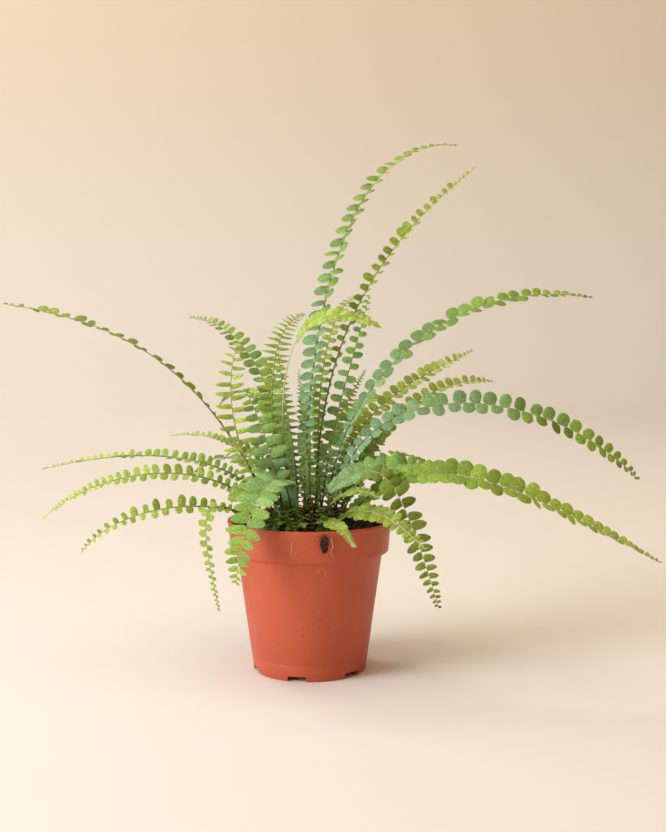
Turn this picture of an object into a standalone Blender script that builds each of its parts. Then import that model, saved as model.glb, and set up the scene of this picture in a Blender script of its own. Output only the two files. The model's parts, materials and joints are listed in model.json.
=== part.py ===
"""A fern with small round leaflets, in a tapered plastic nursery pot.

Origin at the middle of the pot's underside, +Z up, +X to the plant's right, +Y to its back.
Every frond is one solid: a wiry stalk that carries on as the midrib of a blade with leaflet lobes.
"""
import math
from collections import namedtuple

import bmesh
import bpy
from mathutils import Vector, noise

MM = 0.001
GAP = 0.0003

# Pot
POT_SIDES = 56
POT_HEIGHT = 0.1100
RIM_RADIUS = 0.0600
LIP_HEIGHT = 0.0028
COLLAR_TOP_RADIUS = 0.0593
COLLAR_FOOT_RADIUS = 0.0575
COLLAR_FOOT_Z = 0.0872
BODY_TOP_RADIUS = 0.0530
FOOT_RADIUS = 0.0410
RING_Z = 0.0115
RING_DEPTH = 0.0003
EASE = 0.0006
WALL = 0.0013
FLOOR = 0.0016
DISC_RADIUS = 0.0260
CHANNEL_RADIUS = 0.0375
CHANNEL_RISE = 0.0028
INNER_FOOT_Z = 0.0075

# Drain slots where the wall meets the floor
SLOT_COUNT = 6
SLOT_WIDTH = math.radians(19)
SLOT_FIRST = math.radians(-102)
SLOT_HEIGHT = 0.0038
SLOT_STEPS = 4
SLOT_MARGIN = 0.0010

# Growing mix
SOIL_TOP = 0.1015
SOIL_SIDES = 40

# Mound of short rhizomes that the fronds rise from
MAT_CENTRE = (-0.003, 0.004)
MAT_SIZE = (0.0400, 0.0320)
MAT_HEIGHT = 0.0075
MAT_EDGE = 0.0010
MAT_FALL = 2.5
MAT_SIDES = 24
MAT_RINGS = 4
MAT_TOP_SHARE = 0.13

# Moss, old stalks and what clings to the rim
MOSS_PLACE = (-0.018, -0.040)
MOSS_SIZE = (0.0200, 0.0095, 0.0032)
MOSS_SIDES = 16
MOSS_RINGS = 8
ROD_SIDES = 6
OLD_STALK_RADII = (0.0014, 0.0009)
OLD_STALK_LIFT = 0.0010
OLD_STALKS = (
    ("old_stalk_right", (0.0400, -0.0120), (0.0425, -0.0150), 0.0115),
    ("old_stalk_front_right", (0.0310, -0.0260), (0.0330, -0.0300), 0.0090),
    ("old_stalk_back_right", (0.0440, 0.0060), (0.0470, 0.0080), 0.0100),
)
TWIG_RADII = (0.0009, 0.0007)
TWIG_RISE = 0.0006
TWIGS = (
    ("dry_twig_long", (0.0260, -0.0395), (0.0480, -0.0235)),
    ("dry_twig_short", (0.0200, -0.0330), (0.0235, -0.0460)),
)
CRUMB_PLACE = (0.0112, -0.0609, 0.1015)
CRUMB_SIZE = (0.0032, 0.0013, 0.0060)
CRUMB_LUMPS = 0.25
CRUMB_GRAIN = 1.7
ROOT_RADII = (0.0004, 0.0003)
ROOT_TOP = (0.0156, -0.0598, 0.1060)
ROOT_END = (0.0166, -0.0592, 0.0920)

# Fronds
STALK_RADIUS = 0.0011
TIP_RADIUS = 0.0004
RIDGE = 0.0009
ROOT_CLEARANCE = 0.0002
LOBES = ((0.15, 0.45), (0.65, 1.0))
STALK_SECTIONS = 5
CURVE_SAMPLES = 120
FEWEST_PAIRS = 4
BLADE_START = 0.55
BLADE_WIDENS = 4.5
BLADE_FULL_UNTIL = 0.35
BLADE_NARROWS = 0.82
BLADE_TAPER = 1.7

# All lengths of the fronds in millimetres and all angles in degrees.
# root: where it leaves the mound; heading: the way it grows, seen from above; reach, rise and sway:
# from root to tip along, up and across; leans: from upright, at root and tip; pulls: how far each end
# keeps its lean; roll: turn of the blade about its midrib; width: half of the blade;
# bare: share that is stalk; pitch: from one pair of leaflets to the next.
Frond = namedtuple("Frond", "name root heading reach rise sway leans pulls roll width bare pitch")
FRONDS = (
    Frond("frond_left_long", (-24, 7), 184, 196, 158, 0, (25, 82), (.47, .38), -8, 8.5, .28, 11),
    Frond("frond_left_second", (-23, 14), 172, 183, 34, 0, (30, 104), (.34, .40), -31, 9.5, .20, 10),
    Frond("frond_left_third", (-28, 1), 188, 163, 6, 0, (33, 133), (.37, .37), -45, 9.5, .20, 10),
    Frond("frond_left_fourth", (-30, -3), 200, 135, -12, 0, (56, 142), (.32, .32), -53, 10, .22, 11),
    Frond("frond_left_back_short", (-19, 21), 155, 100, 58, 0, (20, 100), (.50, .35), -20, 7, .25, 8),
    Frond("frond_left_drooping", (-31, -15), 205, 36, -55, 0, (52, 192), (1.1, 1.0), -40, 7.5, .40, 9),
    Frond("frond_front_left_drooping", (-12, -14), 239, 70, -30, 0, (5, 172), (.90, .75), -8, 12, .24, 11),
    Frond("frond_front_left_pale", (-20, -11), 222, 46, 22, 0, (20, 125), (.60, .45), -20, 10, .24, 10),
    Frond("frond_tall_arching", (-4, 5), -3, 109, 269, 0, (0, 97), (.48, .28), 40, 10.5, .25, 12),
    Frond("frond_tall_second", (4, 12), 5, 118, 257, 0, (0, 52), (.44, .35), 46, 8.5, .30, 11),
    Frond("frond_right_upper", (13, 7), 2, 194, 162, 0, (0, 100), (.35, .45), 28, 9.5, .25, 11),
    Frond("frond_right_back_upper", (14, 24), 27, 127, 125, 0, (8, 68), (.45, .40), 32, 8, .30, 9),
    Frond("frond_right_back_middle", (20, 18), 19, 127, 101, 0, (20, 98), (.42, .35), 32, 8, .35, 9),
    Frond("frond_right_big", (19, 1), -3, 218, 32, 0, (0, 138), (.52, .45), 40, 11.5, .22, 12),
    Frond("frond_right_low", (23, -5), -12, 225, -19, 0, (38, 117), (.40, .50), 40, 11.5, .20, 12),
    Frond("frond_right_pale", (-8, -12), 4, 112, 37, 0, (36, 103), (.50, .35), 35, 9.5, .30, 11),
    Frond("frond_right_drooping", (21, -12), -27, 78, -51, 0, (18, 162), (.90, .98), 44, 10.5, .30, 11),
    Frond("frond_right_front_low", (14, -17), -38, 83, -6, 0, (45, 128), (.50, .35), 31, 9.5, .25, 10),
    Frond("frond_front_short", (3, -20), -61, 59, -4, 0, (50, 125), (.40, .40), 11, 6.5, .25, 7),
    Frond("frond_left_back_tall", (-14, 26), 147, 98, 151, 0, (2, 88), (.45, .35), -37, 8, .30, 9),
    Frond("frond_left_pointed", (-21, 2), 184, 30, 133, 0, (38, -20), (.40, .30), -85, 9.5, .25, 8),
    Frond("frond_left_broad", (-17, -6), 210, 33, 98, 0, (14, 30), (.40, .35), -85, 10, .25, 10),
    Frond("frond_centre_left", (-13, 11), 40, 12, 150, 0, (-22, 80), (.42, .28), 50, 8.5, .28, 8),
    Frond("frond_centre_straight", (-9, 16), 166, 15, 122, 0, (0, 6), (.40, .35), 71, 6.5, .30, 8),
    Frond("frond_light_arching", (-12, -4), -2, 63, 140, -35, (-9, 117), (.20, .68), 30, 8, .52, 8),
    Frond("frond_back_yellow_tip", (9, 29), 62, 80, 169, 0, (-12, 96), (.48, .42), 20, 6.5, .38, 8),
    Frond("frond_right_upright", (8, 20), 25, 40, 166, 0, (5, 15), (.40, .35), 49, 8.5, .32, 10),
    Frond("frond_right_shaded", (13, 14), 14, 56, 78, 0, (35, 45), (.35, .35), 60, 8, .28, 9),
    Frond("frond_back_left_long", (-9, 30), 118, 150, 78, 0, (12, 118), (.50, .42), -10, 9, .25, 11),
    Frond("frond_back_long", (0, 33), 92, 165, 70, 0, (14, 124), (.50, .42), 0, 9.5, .25, 11),
    Frond("frond_back_right_long", (12, 32), 66, 150, 74, 0, (14, 120), (.50, .42), 10, 9, .25, 11),
    Frond("frond_back_left_low", (-16, 30), 134, 118, 22, 0, (34, 136), (.42, .42), -10, 9, .22, 10),
    Frond("frond_back_low", (4, 35), 80, 112, 8, 0, (34, 146), (.42, .42), 0, 9, .22, 10),
    Frond("frond_back_right_low", (19, 28), 48, 120, 26, 0, (34, 132), (.42, .42), 10, 9, .22, 10),
    Frond("frond_inner_back", (-3, 14), 100, 36, 108, 0, (4, 30), (.40, .35), 30, 7.5, .35, 8),
    Frond("frond_inner_right", (4, 3), 32, 44, 108, 0, (2, 36), (.40, .35), 50, 8, .32, 8),
    Frond("frond_inner_low_right", (10, 0), 19, 68, 40, 0, (14, 86), (.45, .40), 45, 7, .30, 8),
    Frond("frond_inner_low_left", (-11, 0), 192, 62, 62, 0, (6, 78), (.45, .40), -40, 8.5, .30, 9),
    Frond("frond_inner_front", (-1, -5), 262, 26, 62, 0, (-4, 66), (.45, .40), 0, 8, .35, 8),
    Frond("frond_front_right_small", (8, -13), -40, 54, 24, 0, (24, 112), (.45, .40), 24, 7.5, .28, 8),
    Frond("young_frond_left", (-23, -17), 232, 20, 7, 0, (30, 112), (.45, .40), 0, 4.0, .30, 4),
    Frond("young_frond_front_left", (-15, -20), 250, 18, 6, 0, (25, 115), (.45, .40), 0, 4.0, .30, 4),
    Frond("young_frond_front", (-5, -22), 275, 19, 5, 0, (30, 118), (.45, .40), 0, 4.0, .30, 4),
    Frond("young_frond_right", (11, -21), 300, 20, 6, 0, (30, 112), (.45, .40), 0, 4.0, .30, 4),
)


def new_object(name, shape):
    mesh = bpy.data.meshes.new(name)
    shape.to_mesh(mesh)
    shape.free()
    obj = bpy.data.objects.new(name, mesh)
    bpy.context.scene.collection.objects.link(obj)
    return obj


def linear(channel):
    """One sRGB channel, 0 to 255, as linear light."""
    share = channel / 255
    return share / 12.92 if share <= 0.04045 else ((share + 0.055) / 1.055) ** 2.4


def paint(obj, colour, roughness):
    """Gives the object a Principled material of its own."""
    material = bpy.data.materials.new(obj.name)
    material.use_nodes = True
    shader = material.node_tree.nodes["Principled BSDF"]
    shader.inputs["Base Color"].default_value = (*map(linear, colour), 1)
    shader.inputs["Roughness"].default_value = roughness
    shader.inputs["Metallic"].default_value = 0
    obj.data.materials.clear()
    obj.data.materials.append(material)


def ring_at(shape, radius, z, sides):
    """A level ring of corners round the Z axis."""
    angles = [math.tau * i / sides for i in range(sides)]
    return [shape.verts.new((radius * math.cos(a), radius * math.sin(a), z)) for a in angles]


def close_rings(shape, rings):
    """Skins a stack of rings and closes both ends."""
    count = len(rings[0])
    for near, far in zip(rings, rings[1:]):
        for i in range(count):
            j = (i + 1) % count
            shape.faces.new((near[i], near[j], far[j], far[i]))
    shape.faces.new(rings[0][::-1])
    shape.faces.new(rings[-1])
    bmesh.ops.recalc_face_normals(shape, faces=shape.faces)


def body_radius(z):
    """Outer radius of the pot's tapered wall at a height."""
    return FOOT_RADIUS + (BODY_TOP_RADIUS - FOOT_RADIUS) * z / COLLAR_FOOT_Z


def pot_outline():
    """The wall's section as (radius, height): down the outside, under the floor, up the inside."""
    lip_foot = POT_HEIGHT - LIP_HEIGHT
    channel_top = CHANNEL_RISE + FLOOR
    inner_collar = COLLAR_FOOT_Z + WALL
    start = (RIM_RADIUS - WALL - EASE, POT_HEIGHT - EASE)
    outside = (
        (RIM_RADIUS - EASE, POT_HEIGHT),
        (RIM_RADIUS, POT_HEIGHT - EASE),
        (RIM_RADIUS, lip_foot + EASE),
        (COLLAR_TOP_RADIUS, lip_foot),
        (COLLAR_FOOT_RADIUS, COLLAR_FOOT_Z + EASE),
        (COLLAR_FOOT_RADIUS - EASE, COLLAR_FOOT_Z),
        (BODY_TOP_RADIUS + EASE, COLLAR_FOOT_Z - EASE),
        (body_radius(COLLAR_FOOT_Z - 3 * EASE), COLLAR_FOOT_Z - 3 * EASE),
        (body_radius(RING_Z + EASE), RING_Z + EASE),
        (body_radius(RING_Z) - RING_DEPTH, RING_Z),
        (body_radius(RING_Z - EASE), RING_Z - EASE),
        (body_radius(EASE), EASE),
        (FOOT_RADIUS - EASE, 0),
    )
    underside = (
        (CHANNEL_RADIUS, 0),
        (CHANNEL_RADIUS - EASE, CHANNEL_RISE),
        (DISC_RADIUS + EASE, CHANNEL_RISE),
        (DISC_RADIUS, 0),
        (0, 0),
    )
    inside = (
        (0, FLOOR),
        (DISC_RADIUS - 2 * EASE, FLOOR),
        (DISC_RADIUS, channel_top),
        (FOOT_RADIUS - WALL - EASE, channel_top),
        (body_radius(INNER_FOOT_Z) - WALL, INNER_FOOT_Z),
        (body_radius(COLLAR_FOOT_Z - EASE) - WALL, COLLAR_FOOT_Z - EASE),
        (COLLAR_FOOT_RADIUS - WALL - EASE, inner_collar),
        (COLLAR_FOOT_RADIUS - WALL, inner_collar + EASE),
    )
    return (start, *outside, *underside, *inside, start)


def slot_cutter(name, middle):
    """A wedge through the foot and the edge of the floor, stepped so that it opens the inside."""
    inner = CHANNEL_RADIUS - EASE
    outer = FOOT_RADIUS + 4 * SLOT_MARGIN
    step = FOOT_RADIUS - WALL - EASE
    top = CHANNEL_RISE + FLOOR + SLOT_MARGIN
    outline = (
        (inner, -SLOT_MARGIN),
        (outer, -SLOT_MARGIN),
        (outer, SLOT_HEIGHT),
        (step, SLOT_HEIGHT),
        (step, top),
        (inner, top),
    )
    shape = bmesh.new()
    rings = []
    for i in range(SLOT_STEPS + 1):
        angle = middle + SLOT_WIDTH * (i / SLOT_STEPS - 0.5)
        rings.append([shape.verts.new((r * math.cos(angle), r * math.sin(angle), z)) for r, z in outline])
    close_rings(shape, rings)
    obj = new_object(name, shape)
    obj.hide_render = True
    obj.display_type = "WIRE"
    return obj


def make_pot():
    """The moulded pot: lip, collar, step, tapered wall with a fine ring, foot ring and raised channel."""
    shape = bmesh.new()
    corners = [shape.verts.new((r, 0, z)) for r, z in pot_outline()]
    for here, there in zip(corners, corners[1:]):
        shape.edges.new((here, there))
    pot = new_object("nursery_pot", shape)
    turn = pot.modifiers.new("turn", "SCREW")
    turn.steps = POT_SIDES
    turn.render_steps = POT_SIDES
    turn.use_merge_vertices = True
    turn.merge_threshold = 0.00001
    turn.use_smooth_shade = True
    for i in range(SLOT_COUNT):
        cut = pot.modifiers.new("drain slot", "BOOLEAN")
        cut.operation = "DIFFERENCE"
        cut.solver = "EXACT"
        cut.object = slot_cutter(f"slot_cutter_{i + 1}", SLOT_FIRST + math.tau * i / SLOT_COUNT)
    paint(pot, (205, 92, 62), 0.45)


def make_soil():
    """Peaty mix that fills the pot up to its watering space."""
    step_z = COLLAR_FOOT_Z - 2 * EASE
    collar_z = COLLAR_FOOT_Z + WALL + 2 * EASE
    collar = COLLAR_FOOT_RADIUS - WALL - EASE
    section = (
        (FOOT_RADIUS - WALL - 2 * EASE, CHANNEL_RISE + FLOOR + GAP),
        (body_radius(INNER_FOOT_Z) - WALL, INNER_FOOT_Z + GAP),
        (body_radius(step_z) - WALL, step_z),
        (collar, collar_z),
        (collar + EASE, SOIL_TOP),
    )
    shape = bmesh.new()
    close_rings(shape, [ring_at(shape, r - 3 * GAP, z, SOIL_SIDES) for r, z in section])
    soil = new_object("potting_soil", shape)
    paint(soil, (42, 30, 24), 0.95)


def mat_top(x, y):
    """Height of the rhizome mound's surface above the point."""
    share = math.hypot((x - MAT_CENTRE[0]) / MAT_SIZE[0], (y - MAT_CENTRE[1]) / MAT_SIZE[1])
    return SOIL_TOP + GAP + MAT_EDGE + MAT_HEIGHT * (1 - min(1.0, share) ** MAT_FALL)


def make_mat():
    """The crowded short rhizomes, one low mound on the mix."""
    shape = bmesh.new()
    shares = [1.0] + [1 - (1 - MAT_TOP_SHARE) * i / MAT_RINGS for i in range(MAT_RINGS + 1)]
    rings = []
    for share in shares:
        ring = ring_at(shape, share, SOIL_TOP + GAP, MAT_SIDES)
        for vertex in ring:
            vertex.co.x = MAT_CENTRE[0] + MAT_SIZE[0] * vertex.co.x
            vertex.co.y = MAT_CENTRE[1] + MAT_SIZE[1] * vertex.co.y
            if rings:
                vertex.co.z = mat_top(vertex.co.x, vertex.co.y)
        rings.append(ring)
    close_rings(shape, rings)
    paint(new_object("rhizome_mat", shape), (84, 66, 40), 0.9)


def make_moss():
    """A thin cushion of moss on the mix, in front of the mound."""
    shape = bmesh.new()
    bmesh.ops.create_uvsphere(shape, u_segments=MOSS_SIDES, v_segments=MOSS_RINGS, radius=1)
    underside = [vertex for vertex in shape.verts if vertex.co.z < -EASE]
    bmesh.ops.delete(shape, geom=underside, context="VERTS")
    bmesh.ops.holes_fill(shape, edges=shape.edges)
    for vertex in shape.verts:
        vertex.co = (vertex.co.x * MOSS_SIZE[0], vertex.co.y * MOSS_SIZE[1], vertex.co.z * MOSS_SIZE[2])
    bmesh.ops.recalc_face_normals(shape, faces=shape.faces)
    moss = new_object("moss_patch", shape)
    moss.location = (*MOSS_PLACE, SOIL_TOP + GAP)
    paint(moss, (74, 98, 40), 0.95)


def make_rod(name, start, end, radii, colour):
    """A thin dry stalk or root from start to end."""
    shape = bmesh.new()
    start, end = Vector(start), Vector(end)
    turn = (end - start).to_track_quat("Z", "Y")
    rings = []
    for place, radius in zip((start, end), radii):
        ring = ring_at(shape, radius, 0, ROD_SIDES)
        for vertex in ring:
            vertex.co = place + turn @ vertex.co
        rings.append(ring)
    close_rings(shape, rings)
    paint(new_object(name, shape), colour, 0.85)


def make_litter():
    """Stubs of old stalks standing in the mix, and dry twigs lying on it."""
    for name, foot, top, height in OLD_STALKS:
        start = (*foot, SOIL_TOP + OLD_STALK_LIFT)
        make_rod(name, start, (*top, SOIL_TOP + height), OLD_STALK_RADII, (112, 84, 50))
    lying = SOIL_TOP + GAP + TWIG_RADII[0]
    for name, start, end in TWIGS:
        make_rod(name, (*start, lying), (*end, lying + TWIG_RISE), TWIG_RADII, (142, 110, 68))


def make_crumb():
    """A crumb of damp mix stuck on the front of the rim, with a fine root beside it."""
    shape = bmesh.new()
    bmesh.ops.create_icosphere(shape, subdivisions=2, radius=1)
    for vertex in shape.verts:
        lump = 1 + CRUMB_LUMPS * noise.noise(vertex.co * CRUMB_GRAIN)
        vertex.co = [lump * size * part for size, part in zip(CRUMB_SIZE, vertex.co)]
    crumb = new_object("soil_crumb_on_rim", shape)
    crumb.location = CRUMB_PLACE
    paint(crumb, (48, 34, 26), 0.95)
    make_rod("fine_root_on_rim", ROOT_TOP, ROOT_END, ROOT_RADII, (196, 176, 140))


def midrib(frond):
    """Points along the frond's midrib and its across direction: a smooth curve from root to tip."""
    heading = math.radians(frond.heading)
    out = Vector((math.cos(heading), math.sin(heading), 0))
    across = Vector((-math.sin(heading), math.cos(heading), 0))
    up = Vector((0, 0, 1))
    lean_root, lean_tip = map(math.radians, frond.leans)
    x, y = frond.root[0] * MM, frond.root[1] * MM
    lift = GAP + ROOT_CLEARANCE + STALK_RADIUS * abs(math.sin(lean_root))
    root = Vector((x, y, mat_top(x, y) + lift))
    tip = root + MM * (frond.reach * out + frond.rise * up + frond.sway * across)
    chord = math.hypot(frond.reach, frond.rise) * MM
    early = root + frond.pulls[0] * chord * (math.sin(lean_root) * out + math.cos(lean_root) * up)
    late = tip - frond.pulls[1] * chord * (math.sin(lean_tip) * out + math.cos(lean_tip) * up)
    late -= 0.5 * frond.sway * MM * across
    points = []
    for i in range(CURVE_SAMPLES + 1):
        t = i / CURVE_SAMPLES
        u = 1 - t
        points.append(u ** 3 * root + 3 * t * u * u * early + 3 * t * t * u * late + t ** 3 * tip)
    return points, across


def length_of(points):
    return sum((there - here).length for here, there in zip(points, points[1:]))


def stations_at(points, shares):
    """The point and direction at each rising share of the curve's length."""
    total = length_of(points)
    found = []
    passed = 0.0
    i = 0
    for share in shares:
        step = points[i + 1] - points[i]
        while passed + step.length < share * total and i < len(points) - 2:
            passed += step.length
            i += 1
            step = points[i + 1] - points[i]
        part = (share * total - passed) / step.length
        found.append((points[i] + step * part, step.normalized()))
    return found


def blade_share(place):
    """The blade's half width as a share of its fullest, full soon after its start, narrow at its tip."""
    start = min(1.0, BLADE_START + BLADE_WIDENS * place)
    late = max(0.0, (place - BLADE_FULL_UNTIL) / (1 - BLADE_FULL_UNTIL))
    return start * (1 - BLADE_NARROWS * late ** BLADE_TAPER)


def make_frond(frond):
    """A stalk and a lobed blade in one skin, three corners to a section: left, ridge and right."""
    points, across = midrib(frond)
    pairs = max(FEWEST_PAIRS, round(length_of(points) * (1 - frond.bare) / (frond.pitch * MM)))
    shares = [frond.bare * i / STALK_SECTIONS for i in range(STALK_SECTIONS)]
    halves = [0.0] * STALK_SECTIONS
    for pair in range(pairs):
        for place_in_pair, fullness in LOBES:
            place = (pair + place_in_pair) / pairs
            shares.append(frond.bare + (1 - frond.bare) * place)
            halves.append(frond.width * MM * blade_share(place) * fullness)
    shares.append(1.0)
    halves.append(0.0)
    roll = math.radians(frond.roll)
    shape = bmesh.new()
    rings = []
    for (point, direction), share, half in zip(stations_at(points, shares), shares, halves):
        side = (across - across.dot(direction) * direction).normalized()
        above = direction.cross(side)
        edge = side * math.cos(roll) + above * math.sin(roll)
        normal = above * math.cos(roll) - side * math.sin(roll)
        radius = STALK_RADIUS + (TIP_RADIUS - STALK_RADIUS) * share
        reach = edge * max(half, radius)
        ridge = min(radius, RIDGE) if half else radius
        base = point - normal * radius / 2
        ring = (base + reach, point + normal * ridge, base - reach)
        rings.append([shape.verts.new(corner) for corner in ring])
    close_rings(shape, rings)
    paint(new_object(frond.name, shape), (112, 152, 74), 0.55)


def main():
    for obj in list(bpy.data.objects):
        bpy.data.objects.remove(obj)
    make_pot()
    make_soil()
    make_mat()
    make_moss()
    make_litter()
    make_crumb()
    for frond in FRONDS:
        make_frond(frond)


main()
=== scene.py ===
"""A fern with small round leaflets, in a moulded plastic nursery pot, set on a pale sweep."""

import json
import math
import random
from collections import namedtuple

import bpy
from mathutils import Matrix, Vector


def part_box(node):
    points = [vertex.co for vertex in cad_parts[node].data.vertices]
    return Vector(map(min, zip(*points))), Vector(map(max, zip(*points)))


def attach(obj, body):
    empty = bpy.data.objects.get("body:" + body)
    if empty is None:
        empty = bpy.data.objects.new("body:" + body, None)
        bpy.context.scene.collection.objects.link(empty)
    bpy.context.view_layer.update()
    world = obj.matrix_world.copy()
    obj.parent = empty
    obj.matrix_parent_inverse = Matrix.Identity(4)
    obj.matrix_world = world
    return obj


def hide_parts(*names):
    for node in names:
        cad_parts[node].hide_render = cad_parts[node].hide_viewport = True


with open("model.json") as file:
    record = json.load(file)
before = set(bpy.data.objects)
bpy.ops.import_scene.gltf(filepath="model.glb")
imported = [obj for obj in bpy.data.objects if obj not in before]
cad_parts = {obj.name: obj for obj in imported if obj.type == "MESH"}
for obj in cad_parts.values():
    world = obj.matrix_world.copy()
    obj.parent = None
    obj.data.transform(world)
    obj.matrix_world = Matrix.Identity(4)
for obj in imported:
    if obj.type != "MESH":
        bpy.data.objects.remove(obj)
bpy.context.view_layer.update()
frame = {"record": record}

bl_info = {
    "name": "Potted fern",
    "version": (1, 0, 0),
    "blender": (4, 5, 0),
    "location": "View3D > Sidebar > Potted fern",
    "description": "Builds a small-leaved fern in a nursery pot, piece by piece",
    "category": "Add Mesh",
}

MM = 0.001
UP = Vector((0, 0, 1))
POT_LOW, POT_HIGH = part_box("nursery_pot")
_, SOIL_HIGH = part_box("potting_soil")
MAT_LOW, MAT_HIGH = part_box("rhizome_mat")
MOSS_LOW, MOSS_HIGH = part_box("moss_patch")

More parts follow.
